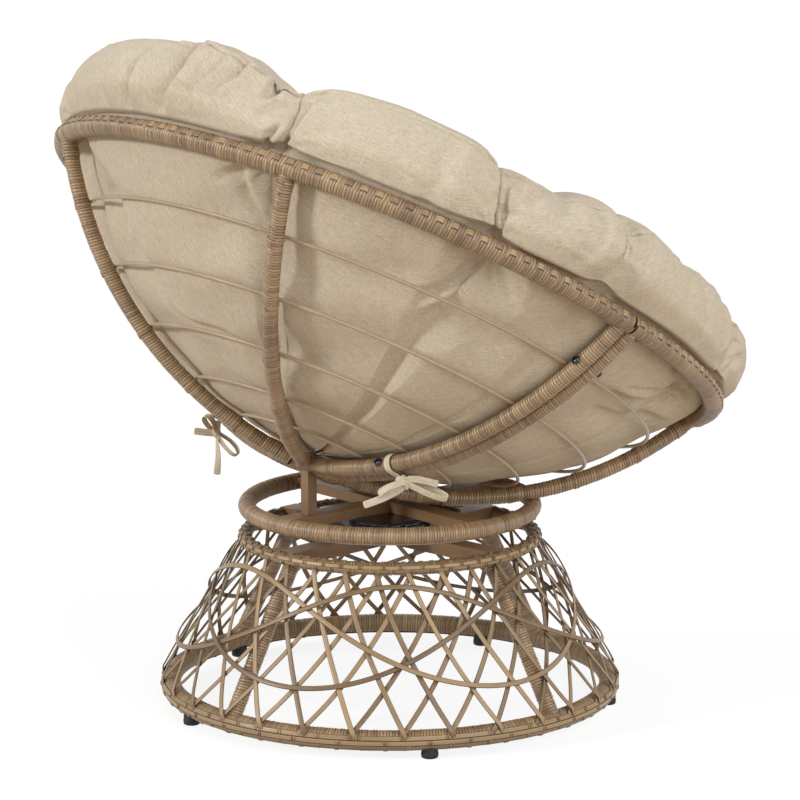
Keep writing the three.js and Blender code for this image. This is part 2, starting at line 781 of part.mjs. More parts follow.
function cushionOutline() {
  const outline = [];
  for (let i = 0; i <= shellRings; i++) {
    const polar = (shellShare * rimPolar * i) / shellRings;
    const height = sphereHeight - shellRadius * Math.cos(polar);
    const point = new THREE.Vector2(shellRadius * Math.sin(polar), height);
    outline.push({ point, pull: 0, onSeat: false });
  }
  const last = outline.at(-1).point;
  const route = new THREE.SplineCurve([last, ...lipShares.map(lipPoint), ...dishShares.map(dishPoint)]);
  route.getSpacedPoints(lipRings).slice(1).forEach((point, i) => {
    const share = (i + 1) / lipRings;
    const rise = THREE.MathUtils.smoothstep(share, ...pullRiseShares);
    const fall = 1 - THREE.MathUtils.smoothstep(share, ...pullFallShares);
    outline.push({ point, pull: rise * fall, onSeat: share > seatShare });
  });
  return outline;
}

// How far a crease draws the cushion in at an azimuth, from 0 between creases to 1 in the deepest
function crease(azimuth) {
  const turn = ((azimuth - lobeStart) / (2 * Math.PI)) * lobeCount;
  const nearest = Math.round(turn);
  const depth = creaseDepthShares[((nearest % lobeCount) + lobeCount) % lobeCount];
  return depth * (1 - Math.abs(Math.sin(Math.PI * turn)) ** creaseSharpShare);
}

function tufts() {
  const places = [new THREE.Vector2(0, 0)];
  const halfLobe = Math.PI / lobeCount;
  for (let i = 0; i < lobeCount; i++) {
    const azimuth = lobeStart + (2 * Math.PI * i) / lobeCount;
    const outer = compass(azimuth).multiplyScalar(outerTuftShare * rimRadius);
    places.push(new THREE.Vector2(outer.x, outer.y));
    if (i % 2 === 0) {
      const inner = compass(azimuth + halfLobe).multiplyScalar(innerTuftShare * rimRadius);
      places.push(new THREE.Vector2(inner.x, inner.y));
    }
  }
  return places;
}

function cushion() {
  const outline = cushionOutline();
  const core = new THREE.Vector2(rimRadius - lipReach, lipHeight / 2);
  const sewn = tufts();
  const columns = lobeCount * lobeColumns;
  const positions = [];
  const place = (point, azimuth, pull, onSeat) => {
    const drawn = point.clone().lerp(core, creaseShare * pull * crease(azimuth));
    const flat = compass(azimuth).multiplyScalar(drawn.x);
    let height = drawn.y;
    if (onSeat) {
      for (const tuft of sewn) {
        const away = Math.hypot(flat.x - tuft.x, flat.y - tuft.y) / tuftSpread;
        height -= tuftDepth * Math.exp(-away * away);
      }
    }
    positions.push(flat.x, flat.y, height);
  };
  place(outline[0].point, 0, 0, false);
  const rings = outline.slice(1, -1);
  for (const { point, pull, onSeat } of rings) {
    for (let i = 0; i < columns; i++) {
      place(point, lobeStart + (2 * Math.PI * i) / columns, pull, onSeat);
    }
  }
  place(outline.at(-1).point, 0, 0, true);
  const index = [];
  const last = positions.length / 3 - 1;
  const top = 1 + (rings.length - 1) * columns;
  for (let i = 0; i < columns; i++) {
    const next = (i + 1) % columns;
    index.push(0, 1 + next, 1 + i);
    for (let j = 0; j < rings.length - 1; j++) {
      const low = 1 + j * columns;
      const high = low + columns;
      index.push(low + i, low + next, high + next, low + i, high + next, high + i);
    }
    index.push(top + i, top + next, last);
  }
  return facingOut(positions, index);
}

// A tie: a flat tape round both seam tubes, with a bow that hangs outside them
function tapeRound() {
  const reach = (seamTubeRadius + seatGap) / Math.cos(Math.PI / tubeSides) + tieThickness / 2;
  const stations = [];
  for (const side of [1, -1]) {
    for (let i = 0; i <= tubeSides / 2; i++) {
      const angle = Math.PI * ((2 * i) / tubeSides - 1 / 2);
      const out = new THREE.Vector3(0, side * Math.cos(angle), side * Math.sin(angle));
      const point = out.clone().multiplyScalar(reach);
      point.y += side * seamOffset;
      stations.push({ point, across: new THREE.Vector3(1, 0, 0), out });
    }
  }
  return strip(stations, tieWidth, tieThickness, true);
}

// A bow's loop or tail, in the plane that faces out of the bowl, standing a tape's width off it
function bowTape(places, length, depth) {
  const points = places.map(([alongShare, acrossShare, outShare]) => {
    return new THREE.Vector3(alongShare * length, acrossShare * length, depth + outShare * length);
  });
  const curve = new THREE.CatmullRomCurve3(points, false, 'centripetal');
  const count = tapeSteps;
  const stations = [];
  for (let i = 0; i <= count; i++) {
    const along = curve.getTangent(i / count);
    const out = new THREE.Vector3(-along.y, along.x, 0).normalize();
    stations.push({ point: curve.getPoint(i / count), across: along.clone().cross(out).normalize(), out });
  }
  return strip(stations, tieWidth, tieThickness, false);
}

function tie(polar, lean) {
  const depth = seamTubeRadius + tieThickness + tieKnotDepth / 2;
  const knot = new THREE.SphereGeometry(tieKnotDepth / 2, 6, 4);
  knot.scale(tieKnotWidth / tieKnotDepth, tieKnotHeight / tieKnotDepth, 1).translate(0, 0, depth);
  const mirrored = tieLoopShares.map(([along, across, out]) => [-along, across, out]);
  const bow = join([
    knot,
    bowTape(tieLoopShares, tieLoopLength, depth),
    bowTape(mirrored, tieLoopLength, depth),
    bowTape(tieTailShares, tieTailLength, depth),
    bowTape(tieFallenTailShares, tieTailLength, depth),
  ]);
  bow.rotateZ(lean);
  return join([tapeRound(), bow]).applyMatrix4(placeOnSeam(polar));
}

// Assembly
const chair = new THREE.Group();
const base = new THREE.Group();
base.rotation.z = baseTurn;
const upper = new THREE.Group();
const bowl = new THREE.Group();
bowl.position.set(0, bowlBack, seat.rimHeight);
bowl.rotation.x = bowlTilt;
upper.add(bowl);
chair.add(base, upper);

piece('base_bottom_ring', bottomRing(0), darkWickerFinish(), base);
piece('base_top_ring', topRing(0), darkWickerFinish(), base);
for (let i = 0; i < legCount; i++) {
  piece(`leg_${i + 1}`, leg((2 * Math.PI * i) / legCount), wickerFinish(), base);
}
piece('lower_cross', lowerCross(), paintFinish(), base);
for (let i = 0; i < glideCount; i++) {
  piece(`foot_glide_${i + 1}`, glide((2 * Math.PI * i) / glideCount), rubberFinish(), base);
}
piece('skirt_inner_strands', skirtLayer(innerLean, -layerOffset), strandFinish(), base);
piece('skirt_outer_strands', skirtLayer(outerLean, layerOffset), strandFinish(), base);
for (let i = 0; i < waveCount; i++) {
  piece(`skirt_wave_${i + 1}`, waveHoop(i), strandFinish(), base);
}

const lowerPlate = piece('lower_swivel_plate', bearingHalf(), blackSteelFinish(), base);
lowerPlate.position.z = lowerArmTop + seatGap;
piece('swivel_pivot', pivotPin(), brightSteelFinish(), base);
const cage = piece('ball_cage', ballCage(), brightSteelFinish(), chair);
cage.position.z = ballHeight;
const upperPlate = piece('upper_swivel_plate', bearingHalf(), blackSteelFinish(), upper);
upperPlate.rotation.x = Math.PI;
upperPlate.position.z = upperArmUnderside - seatGap;

piece('upper_cross', upperCross(), paintFinish(), upper);
piece('swivel_ring', drilledSwivelRing(), wickerFinish(), upper);
piece('rear_post', rearPost(), paintFinish(), upper);
piece('seat_bolt_left', seatBolt(-1), blackSteelFinish(), upper);
piece('seat_bolt_right', seatBolt(1), blackSteelFinish(), upper);

const ribHoles = {
  front_right_rib: [seatBoltHole(1).applyMatrix4(bowlInverse)],
  front_left_rib: [seatBoltHole(-1).applyMatrix4(bowlInverse)],
};
for (const half of ['back', 'front']) {
  piece(`rim_${half}`, halfRim(half, 0), wickerFinish(), bowl);
  piece(`seam_tube_${half}`, boltedSeam(half), wickerFinish(), bowl);
  for (const side of ['right', 'left']) {
    const name = `${half}_${side}_rib`;
    piece(name, rib(name, half, ribHoles[name] ?? []), wickerFinish(), bowl);
  }
  rodPolarShares.forEach((share, level) => {
    piece(`rod_${half}_${level + 1}`, rod(level, half), rodFinish(), bowl);
  });
}
boltPolars.forEach((polar, i) => {
  piece(`seam_bolt_${i + 1}`, seamBolt(polar), blackSteelFinish(), bowl);
  piece(`seam_nut_${i + 1}`, seamNut(polar), blackSteelFinish(), bowl);
});
piece('cushion', cushion(), fabricFinish(), bowl);
piece('tie_right', tie(tieRightPolarShare * rimPolar, tieRightLean), tieFinish(), bowl);
piece('tie_left', tie(-tieLeftPolarShare * rimPolar, tieLeftLean), tieFinish(), bowl);

// The origin is the middle of the footprint's box, on the floor
chair.updateMatrixWorld(true);
const extent = new THREE.Box3().setFromObject(chair, true);
const middle = extent.getCenter(new THREE.Vector3());
base.position.set(-middle.x, -middle.y, 0);
cage.position.setX(-middle.x);
cage.position.setY(-middle.y);
upper.position.set(-middle.x, -middle.y, 0);
chair.updateMatrixWorld(true);

export default chair;
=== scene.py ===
"""Wicker, cloth and steel for a papasan chair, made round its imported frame.

Metres, +Z up. The chair faces -Y and the sitter's left is +X.
"""

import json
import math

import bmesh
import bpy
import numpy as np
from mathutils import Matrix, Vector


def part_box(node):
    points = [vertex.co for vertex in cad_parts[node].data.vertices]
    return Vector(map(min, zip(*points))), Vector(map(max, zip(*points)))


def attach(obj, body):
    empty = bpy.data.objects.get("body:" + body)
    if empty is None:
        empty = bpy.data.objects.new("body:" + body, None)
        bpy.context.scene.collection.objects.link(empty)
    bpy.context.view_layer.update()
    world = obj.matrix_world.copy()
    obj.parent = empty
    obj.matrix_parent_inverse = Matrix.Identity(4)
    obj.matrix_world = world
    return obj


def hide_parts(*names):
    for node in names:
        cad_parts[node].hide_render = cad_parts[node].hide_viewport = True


bl_info = {
    "name": "Papasan Chair",
    "version": (1, 0, 0),
    "blender": (4, 5, 0),
    "location": "3D View > Sidebar > Papasan",
    "description": "Winds, weaves and upholsters a papasan chair on its packed frame",
    "category": "Object",
}

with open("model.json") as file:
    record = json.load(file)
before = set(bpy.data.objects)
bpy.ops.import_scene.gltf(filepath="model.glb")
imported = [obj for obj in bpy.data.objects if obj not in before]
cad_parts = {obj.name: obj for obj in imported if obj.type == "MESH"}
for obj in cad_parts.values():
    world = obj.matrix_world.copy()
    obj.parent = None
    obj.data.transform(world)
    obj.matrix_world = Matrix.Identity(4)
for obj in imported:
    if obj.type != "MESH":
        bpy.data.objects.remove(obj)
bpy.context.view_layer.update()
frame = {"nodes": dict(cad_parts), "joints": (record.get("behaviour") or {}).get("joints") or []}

# Places that the frame gives
SWIVEL = Vector(next(j for j in frame["joints"] if j["name"] == "seat_swivel")["pos_m"])
RIM_HEIGHT = (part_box("rim_front")[0].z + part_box("rim_back")[1].z) / 2

# Shares of a lobed cushion's outline: out past the rim and up from its plane, then in and down to the middle
LIP_SHARES = [(-0.61, -0.018), (-0.44, 0.088), (-0.14, 0.126), (0.2, 0.132), (0.42, 0.18), (0.74, 0.29),
              (1.01, 0.44), (0.86, 0.68), (0.1, 0.91), (-1.25, 1)]
DISH_SHARES = [(0.83, 0.95), (0.73, 0.8), (0.64, 0.61), (0.52, 0.37), (0.38, 0.16), (0.2, 0.04), (0, 0)]

# Ways round the outline: up to where the cloth lies inside the bowl, and where it rests on the rim's tube
INSIDE_WAY = 0.072
REST_WAY = 0.095
REST_SPREAD = 0.028

# Clearances in metres: from the cloth to a rod and to the rim, how far inside the rods the case starts, and
# how far the cloth may bulge between two rods and beside the rim
ROD_CLEARANCE = 0.0004
RIM_CLEARANCE = 0.0016
CASE_INSET = 0.0012
ROD_BULGE = 0.0012
RIM_BULGE = 0.0032

# How far beside a rod its hold on the cloth fades, in metres, and how steeply the lip may fall past the rim
ROD_REACH = 0.014
LIP_FALL = 0.2
STUFFING_FRAMES = 20

# Creases of the cushion's edge: degrees from the back toward the sitter's right, and shares of the slit's
# and the valley's depth
CREASES = [(-2, 0, 0.15), (27.3, 1, 1), (60.2, 1, 0.9), (82.3, 0, 0.6), (119, 0.5, 0.5),
           (148, 0.9, 0.9), (178, 0.7, 0.8), (208, 0.95, 0.9), (238, 0.65, 0.7), (268, 0.85, 0.9),
           (298, 0.9, 0.8), (328, 0.8, 0.9)]

# How much bigger or smaller than the plain outline the edge is, round the cushion
SWELLS = [(-50, 0.1), (-38, 0.13), (-30, 0.16), (-15, 0.27), (-2, 0.34), (8, 0.31), (14, 0.16), (18, -0.04),
          (22, -0.09), (27, 0.02), (33, 0.02), (42, 0.08), (50, 0.02), (57, -0.01), (63, -0.05), (67, -0.1),
          (71, -0.1), (74, 0.08), (79, 0.28), (86, 0.28), (90, 0.2), (97, 0.05), (103, 0.01), (108, -0.04),
          (115, -0.08), (125, -0.2), (131, -0.1), (138, 0.08), (148, 0.02), (163, 0), (193, 0.03), (223, 0),
          (253, 0.02), (283, 0), (300, 0.06)]

# Bends of creases: the ways round the edge, and how many degrees the crease wanders there
BENDS = {
    1: [(-0.2, 0), (-0.03, -2), (0.021, -1.8), (0.05, -0.7), (0.078, 0.3), (0.17, 0.4), (0.26, -0.8),
        (0.4, 0)],
    2: [(-0.2, 0), (-0.03, 3.7), (0.021, 3.6), (0.07, 2.2), (0.11, 1), (0.16, 0.3), (0.25, -0.8), (0.4, 0)],
    7: [(-0.2, 0), (0.04, 2), (0.1, -0.8), (0.2, 0.6), (0.4, 0)],
    9: [(-0.2, 0), (0.04, -2), (0.12, 0.9), (0.2, -0.5), (0.4, 0)],
    11: [(-0.2, 0), (0.04, 1.6), (0.12, -0.7), (0.4, 0)],
}
BEND_REACH = 14

# Folds of the cushion: width and depth in millimetres, and places as degrees and a way round the outline,
# which is -1 at the pole of the underside, 0 just under the rim, and 1 in the middle of the seat
FOLDS = [
    (5, 8, [(26.2, 0.13), (25.4, 0.105), (24.6, 0.08), (24, 0.056), (23.6, 0.035)]),
    (4.5, 7, [(29.5, 0.2), (29.1, 0.169), (28.5, 0.13), (28, 0.1), (27.1, 0.06)]),
    (12, 4, [(52, 0.23), (51.4, 0.152), (51, 0.09), (50.6, 0.04)]),
    (4.5, 7, [(61.3, 0.2), (61.4, 0.17), (62, 0.135), (62.8, 0.095), (63.9, 0.06)]),
    (12, 4, [(68, 0.24), (66, 0.19), (65, 0.15)]),
    (20, 9, [(83.2, 0.27), (84, 0.21), (83, 0.15), (82, 0.1), (81, 0.05)]),
    (13, 4, [(76, 0.25), (76.5, 0.17), (75, 0.09)]),
    (9, 7, [(94, 0.26), (96, 0.22), (97.2, 0.17), (98, 0.11)]),
    (8, 7, [(99.5, 0.25), (102, 0.2), (104, 0.14), (105, 0.09)]),
    (8, 5, [(110, 0.23), (113, 0.18), (114, 0.12)]),
    (8, 5, [(121, 0.1), (124, 0.13), (129, 0.15)]),
    (7, 5, [(61.8, 0), (61.2, -0.04), (60.2, -0.08), (58, -0.12)]),
    (9, 6, [(-11, -0.36), (-7.3, -0.426), (-2.4, -0.46), (6, -0.465), (13, -0.468), (16, -0.495)]),
    (10, 5, [(140, 0.24), (141, 0.17), (139, 0.1)]),
    (9, 5, [(163, 0.25), (166, 0.18), (170, 0.12)]),
    (10, 6, [(193, 0.26), (191, 0.18), (193, 0.1)]),
    (8, 5, [(222, 0.24), (225, 0.17), (226, 0.09)]),
    (10, 5, [(252, 0.26), (250, 0.19), (253, 0.11)]),
    (9, 6, [(284, 0.25), (286, 0.18), (283, 0.1)]),
    (8, 5, [(312, 0.24), (310, 0.16), (314, 0.09)]),
    (9, 5, [(336, 0.25), (339, 0.18), (337, 0.1)]),
]

# Swags, given like the folds: the cloth drops sharply on the left of the route and climbs back slowly
SWAGS = [
    (6, 11, [(-2.2, 0.085), (-1.7, 0.119), (-1.5, 0.14), (-1.9, 0.165), (-2.2, 0.19), (-0.6, 0.22),
             (2, 0.25)]),
    (7.5, 16, [(5.8, 0.085), (6.7, 0.119), (7.3, 0.136), (8.1, 0.161), (7.6, 0.19), (6.6, 0.225),
               (4.5, 0.27)]),
    (6.5, 10, [(10.4, 0.1), (11.4, 0.136), (12.1, 0.157), (12.8, 0.177), (12.8, 0.2), (12.2, 0.23)]),
    (6, 12, [(14.4, 0.12), (15.4, 0.157), (16, 0.169), (16.7, 0.189), (16.6, 0.21), (15.6, 0.25)]),
    (6, 9, [(21.4, 0.14), (22.3, 0.185), (22.9, 0.222), (23, 0.27)]),
    (7, 7, [(-9, 0.09), (-8.5, 0.13), (-8.2, 0.17), (-7.6, 0.21)]),
    (8, 11, [(29, -0.14), (26.4, -0.118), (24, -0.087), (22.6, -0.06), (21.6, -0.03), (20.4, 0.015),
             (19.8, 0.03)]),
    (7, 9, [(57, -0.15), (60, -0.118), (62.6, -0.09), (63.4, -0.06), (64, -0.02), (64, 0.02)]),
    (14, 10, [(-6, -0.37), (-9.5, -0.285), (-11.7, -0.186), (-15.5, -0.125), (-17.7, -0.04), (-22, 0.01)]),
    (7, 9, [(129, 0.015), (120, -0.015), (114, -0.045), (110, -0.068), (106, -0.085), (102, -0.09)]),
    (6, 7, [(126, 0.03), (118, 0.012), (112, -0.01), (107, -0.04), (104, -0.06)]),
    (9, 8, [(131, -0.03), (122, -0.07), (115, -0.11), (109, -0.14), (104, -0.15)]),
]

# Dents of the underside: width and depth in millimetres, and a middle as degrees and a way
DENTS = [(46, 14, -20, -0.1), (44, 12, -19, -0.24), (44, 12, 16, -0.12), (38, 10, 33, -0.2),
         (40, 9, 31, -0.45), (46, 10, 52, -0.1), (40, 8, 72, -0.16), (44, 6, 104, -0.2),
         (46, 8, 2, -0.55), (44, 9, -20, -0.5), (60, 8, 50, -0.36), (48, 9, 135, -0.2),
         (52, 10, 170, -0.15), (52, 10, 205, -0.2), (50, 9, 240, -0.15), (52, 10, 275, -0.18),
         (48, 9, 310, -0.14), (60, 8, 150, -0.45), (60, 8, 215, -0.5), (60, 8, 290, -0.45)]

# Places of the rods and of the seam bolts, as shares of the way from the bowl's pole to the rim
ROD_POLAR_SHARES = [0.832, 0.667, 0.502, 0.338, 0.198]
BOLT_POLAR_SHARES = [0.863, 0.272]


def length(name, description, default):
    return bpy.props.FloatProperty(
        name=name, description=description, default=default, precision=4, unit="LENGTH")


def angle(name, description, degrees):
    return bpy.props.FloatProperty(
        name=name, description=description, default=math.radians(degrees), unit="ROTATION")


def share(name, description, default):
    return bpy.props.FloatProperty(
        name=name, description=description, default=default, precision=3, subtype="FACTOR")


def number(name, description, default):
    return bpy.props.IntProperty(name=name, description=description, default=default, min=1)


def colour(name, description, default):
    return bpy.props.FloatVectorProperty(
        name=name, description=description, default=default, size=3, min=0, max=1, subtype="COLOR")


class PapasanBowl(bpy.types.PropertyGroup):
    """Sizes of the round bowl frame"""
    rim_radius: length("Rim radius", "From the rim's middle to the middle of its tube", 0.494)
    rim_tube: length("Rim tube", "Radius of the rim's tube", 0.014)
    depth: length("Depth", "From the rim's plane to the middle of the deepest tube", 0.289)
    tilt: angle("Tilt", "How far the rim leans back from level", 29.8)
    setback: length("Setback", "How far the rim's middle lies behind the swivel's axis", 0.006)
    rib_tube: length("Rib tube", "Radius of a rib", 0.011)
    rib_angle: angle("Rib angle", "From the line straight up the back or down the front", 29.5)
    rib_start: length("Rib start", "Where a rib begins, from the bowl's pole", 0.0245)
    seam_tube: length("Seam tube", "Radius of the two tubes across the bowl", 0.011)
    seam_gap: length("Seam gap", "Between the two seam tubes", 0.0003)
    rod_radius: length("Rod radius", "Radius of a bent rod", 0.0025)
    rod_gap: length("Rod gap", "Between the rods and the ribs round them", 0.0006)
    bolt_head: length("Bolt head", "Radius of a seam bolt's head", 0.0065)
    bolt_height: length("Bolt height", "Height of a bolt's domed head", 0.0045)
    nut_radius: length("Nut radius", "From a nut's middle to its corners", 0.0062)
    nut_height: length("Nut height", "Height of a seam nut", 0.005)


class PapasanBase(bpy.types.PropertyGroup):
    """Sizes of the base and its woven skirt"""
    turn: angle("Turn", "How far the base stands turned under the seat", 5.5)
    floor_ring: length("Floor ring", "Radius to the middle of the floor ring's tube", 0.316)
    floor_tube: length("Floor tube", "Radius of the floor ring's tube", 0.015)
    floor_height: length("Floor ring height", "From the floor to the tube's middle", 0.026)
    top_ring: length("Top ring", "Radius to the middle of the top ring's tube", 0.208)
    top_tube: length("Top tube", "Radius of the top ring's tube", 0.010)
    top_height: length("Top ring height", "From the floor to the tube's middle", 0.239)
    swivel_ring: length("Swivel ring", "Radius to the middle of the swivel ring's tube", 0.205)
    swivel_tube: length("Swivel tube", "Radius of the swivel ring's tube", 0.0125)
    leg_tube: length("Leg tube", "Radius of a leg", 0.0115)
    leg_count: number("Legs", "Number of legs", 4)
    glide_radius: length("Glide radius", "Radius of a foot", 0.012)
    glide_height: length("Glide height", "From the floor to the ring", 0.011)
    glide_count: number("Glides", "Number of feet", 5)
    strand_count: number("Strands", "Flat strands in one layer of the skirt", 30)
    strand_width: length("Strand width", "Width of a flat strand", 0.0072)
    strand_thickness: length("Strand thickness", "Thickness of a flat strand", 0.0022)
    strand_start: angle("Strand start", "Where the first strands stand on the floor ring", 5)
    inner_lean: angle("Inner lean", "How far an inner strand turns on its way up", 28.5)
    outer_lean: angle("Outer lean", "How far an outer strand turns on its way up", -19.5)
    layer_offset: length("Layer offset", "From the skirt's middle surface to a layer", 0.00175)
    tie_clearance: length("Tie clearance", "From a ring's tube to the skirt's middle surface", 0.00355)
    floor_tie: angle("Floor tie angle", "Where the strands meet the floor ring", 50)
    top_tie: angle("Top tie angle", "Where the strands meet the top ring", 45)
    wave_count: number("Waves", "Number of wave hoops", 3)
    wave_climbs: number("Wave climbs", "Climbs of one hoop on its way round", 2)
    wave_start: angle("Wave start", "Where the first hoop lies lowest", 107)
    wave_low: share("Wave low", "Lowest place of a hoop on the skirt's height", 0.24)
    wave_high: share("Wave high", "Highest place of a hoop on the skirt's height", 0.93)


class PapasanCane(bpy.types.PropertyGroup):
    """Sizes of the cane that wraps the tubes"""
    pitch: length("Pitch", "Width of one turn of cane", 0.0041)
    fine_pitch: length("Fine pitch", "Width of one turn on the swivel ring", 0.0037)
    groove: length("Groove", "Depth of the groove between two turns", 0.0009)
    band_width: length("Band width", "Width of a lengthwise band on the floor ring", 0.0069)
    band_thickness: length("Band thickness", "Thickness of a lengthwise band", 0.0016)
    ladder_width: length("Ladder width", "Width of the flat cane along the rim", 0.0098)
    tick_width: length("Tick width", "Width of a short wrap that crosses a band", 0.0026)
    lashing: length("Lashing", "How far a lashing stands off its tube", 0.0009)


class PapasanCushion(bpy.types.PropertyGroup):
    """Sizes of the tufted cushion"""
    thickness: length("Thickness", "Through the middle of the seat", 0.121)
    lip_height: length("Lip height", "Highest place above the rim's plane", 0.137)
    overhang: length("Overhang", "How far the lip stands past the rim's outer face", 0.014)
    shell_share: share("Shell share", "How far up the bowl the underside follows it", 0.93)
    slit_share: share("Slit share", "How far a narrow crease draws the edge in", 0.36)
    slit_width: length("Slit width", "Width of a narrow crease", 0.006)
    valley_share: share("Valley share", "How far the edge falls to both sides of a crease", 0.2)
    valley_width: length("Valley width", "Width of that fall", 0.034)
    tuft_depth: length("Tuft depth", "How deep a tuft is drawn into the seat", 0.034)
    tuft_spread: length("Tuft spread", "How far round it a tuft draws the cloth in", 0.042)
    outer_tufts: share("Outer tufts", "Ring of outer tufts, as a share of the rim", 0.6)
    inner_tufts: share("Inner tufts", "Ring of inner tufts, as a share of the rim", 0.27)
    columns: number("Columns", "Mesh columns in one lobe of the case", 26)
    shell_rings: number("Shell rings", "Mesh rings on the case's underside", 40)
    lip_rings: number("Lip rings", "Mesh rings on the case's edge and seat", 76)
    fine_columns: number("Fine columns", "Mesh columns in one lobe of the stuffed cushion", 76)
    fine_shell_rings: number("Fine shell rings", "Mesh rings on its underside", 84)
    fine_lip_rings: number("Fine lip rings", "Mesh rings on its edge and seat", 150)
    seam_way: share("Seam", "Place of the sewn seam on the way round the edge", 0.224)
    seam_depth: length("Seam depth", "How deep the thread draws the seam in", 0.0024)
    slack: length("Slack", "How much smaller the case starts before it is stuffed", 0.014)
    pressure: bpy.props.FloatProperty(name="Pressure", description="Push of the stuffing", default=4)
    cap: length("Cap", "How far the stuffing may move the cloth", 0.022)


class PapasanTie(bpy.types.PropertyGroup):
    """Sizes of the tied tapes"""
    width: length("Width", "Width of the tape", 0.0105)
    thickness: length("Thickness", "Thickness of the folded tape", 0.0014)
    facing: angle("Facing", "Where the one who looks at the bows stands round the chair", 229.5)
    right_share: share("Right tie", "Place on the seam, as a share of the way to the rim", 0.3)
    left_share: share("Left tie", "Place on the seam, as a share of the way to the rim", 0.38)


class PapasanFinish(bpy.types.PropertyGroup):
    """Colours of the chair"""
    cane_pale: colour("Pale cane", "Palest cane of the wraps", (0.50, 0.332, 0.172))
    cane_dark: colour("Dark cane", "Darkest cane of the wraps", (0.13, 0.066, 0.028))
    strand_pale: colour("Pale strand", "Palest flat strand", (0.47, 0.318, 0.165))
    strand_dark: colour("Dark strand", "Darkest flat strand", (0.125, 0.067, 0.03))
    rod: colour("Rod", "Painted bent rods", (0.43, 0.32, 0.205))
    paint: colour("Paint", "Brown painted steel", (0.205, 0.108, 0.042))
    black: colour("Black", "Black bolts and bearing plates", (0.006, 0.006, 0.008))
    rubber: colour("Rubber", "Feet", (0.01, 0.01, 0.011))
    linen_pale: colour("Pale linen", "Palest thread of the cushion", (0.75, 0.645, 0.50))
    linen_dark: colour("Dark linen", "Darkest thread of the cushion", (0.50, 0.40, 0.28))
    floor_lit: colour("Lit floor", "Floor that lights the chair from below", (0.52, 0.43, 0.33))
    floor_seen: colour("Seen floor", "Floor as the camera sees it", (0.2, 0.2, 0.2))
    floor_glow: share("Floor glow", "Light that the seen floor adds", 0.84)


class PapasanStage(bpy.types.PropertyGroup):
    """Camera, floor and lamps"""
    azimuth: angle("Azimuth", "Where the camera stands round the chair", 229.45)
    elevation: angle("Elevation", "How high the camera stands", 11.136)
    distance: length("Distance", "From the camera to the point that it looks at", 5.187)
    lens: bpy.props.FloatProperty(name="Lens", description="Focal length", default=163.6, unit="CAMERA")
    aim_side: length("Aim side", "The aim's place right of the swivel's axis in the view", 0.0145)
    aim_height: length("Aim height", "The aim's height over the floor", 0.4362)
    floor_size: length("Floor size", "Width of the floor", 60)
    sky: bpy.props.FloatProperty(name="Sky", description="Strength of the even light", default=0.5)
    key: bpy.props.FloatProperty(name="Key", description="Strength of the main lamp", default=1.8)
    side: bpy.props.FloatProperty(name="Side", description="Strength of the second lamp", default=1.85)


GROUPS = {
    "papasan_bowl": PapasanBowl,
    "papasan_base": PapasanBase,
    "papasan_cane": PapasanCane,
    "papasan_cushion": PapasanCushion,
    "papasan_tie": PapasanTie,
    "papasan_finish": PapasanFinish,
    "papasan_stage": PapasanStage,
}


def bowl_sizes():
    return bpy.context.scene.papasan_bowl


def base_sizes():
    return bpy.context.scene.papasan_base


def cane_sizes():
    return bpy.context.scene.papasan_cane


def cushion_sizes():
    return bpy.context.scene.papasan_cushion


def finish_colours():
    return bpy.context.scene.papasan_finish


def unit(v):
    v = np.asarray(v, float)
    return v / np.linalg.norm(v, axis=-1, keepdims=True)


def smoothstep(x, low, high):
    t = np.clip((x - low) / (high - low), 0, 1)
    return t * t * (3 - 2 * t)


# Where the bowl, the base and the swivel stand, and how they are turned
def bowl_matrix():
    b = bowl_sizes()
    place = Matrix.Translation((SWIVEL.x, SWIVEL.y + b.setback, RIM_HEIGHT))
    return place @ Matrix.Rotation(b.tilt, 4, "X")


def base_matrix():
    return Matrix.Translation((SWIVEL.x, SWIVEL.y, 0)) @ Matrix.Rotation(base_sizes().turn, 4, "Z")


def swivel_matrix():
    return Matrix.Translation((SWIVEL.x, SWIVEL.y, 0))


# Routes of tubes: at() gives the middle line and two directions square to it
class Arc:
    def __init__(self, centre, first, second, radius, start, end):
        self.centre = np.asarray(centre, float)
        self.first = unit(first)
        self.second = unit(second)
        self.radius = radius
        self.start = start
        self.end = end
        self.length = radius * abs(end - start)

    def at(self, s):
        turn = self.start + (self.end - self.start) * np.asarray(s, float) / self.length
        out = np.cos(turn)[:, None] * self.first + np.sin(turn)[:, None] * self.second
        side = np.broadcast_to(np.cross(self.first, self.second), out.shape)
        return self.centre + self.radius * out, out, side

    def part(self, middle, width):
        """The stretch of a given width about a share of this arc."""
        centre = self.start + (self.end - self.start) * middle
        half = width / self.radius / 2
        return Arc(self.centre, self.first, self.second, self.radius, centre - half, centre + half)


class Line:
    def __init__(self, start, end, out):
        self.start = np.asarray(start, float)
        self.end = np.asarray(end, float)
        self.length = float(np.linalg.norm(self.end - self.start))
        along = unit(self.end - self.start)
        side = unit(np.cross(along, out))
        self.out = np.cross(side, along)
        self.side = side

    def at(self, s):
        t = (np.asarray(s, float) / self.length)[:, None]
        points = self.start + (self.end - self.start) * t
        return points, np.broadcast_to(self.out, points.shape), np.broadcast_to(self.side, points.shape)


# Bowl geometry, in the rim's own frame: Z square to the rim's plane, Y up the back
def sphere_radius():
    b = bowl_sizes()
    return (b.rim_radius ** 2 + b.depth ** 2) / (2 * b.depth)


def sphere_height():
    return sphere_radius() - bowl_sizes().depth


def rim_polar():
    return math.asin(bowl_sizes().rim_radius / sphere_radius())


def compass(azimuth):
    return np.array([-math.sin(azimuth), math.cos(azimuth), 0.0])


def meridian(azimuth, start, end, radius, side=0.0):
    reach = math.sqrt(radius ** 2 - side ** 2)
    centre = (0, side, sphere_height())
    return Arc(centre, (0, 0, -1), compass(azimuth), reach, start, end)


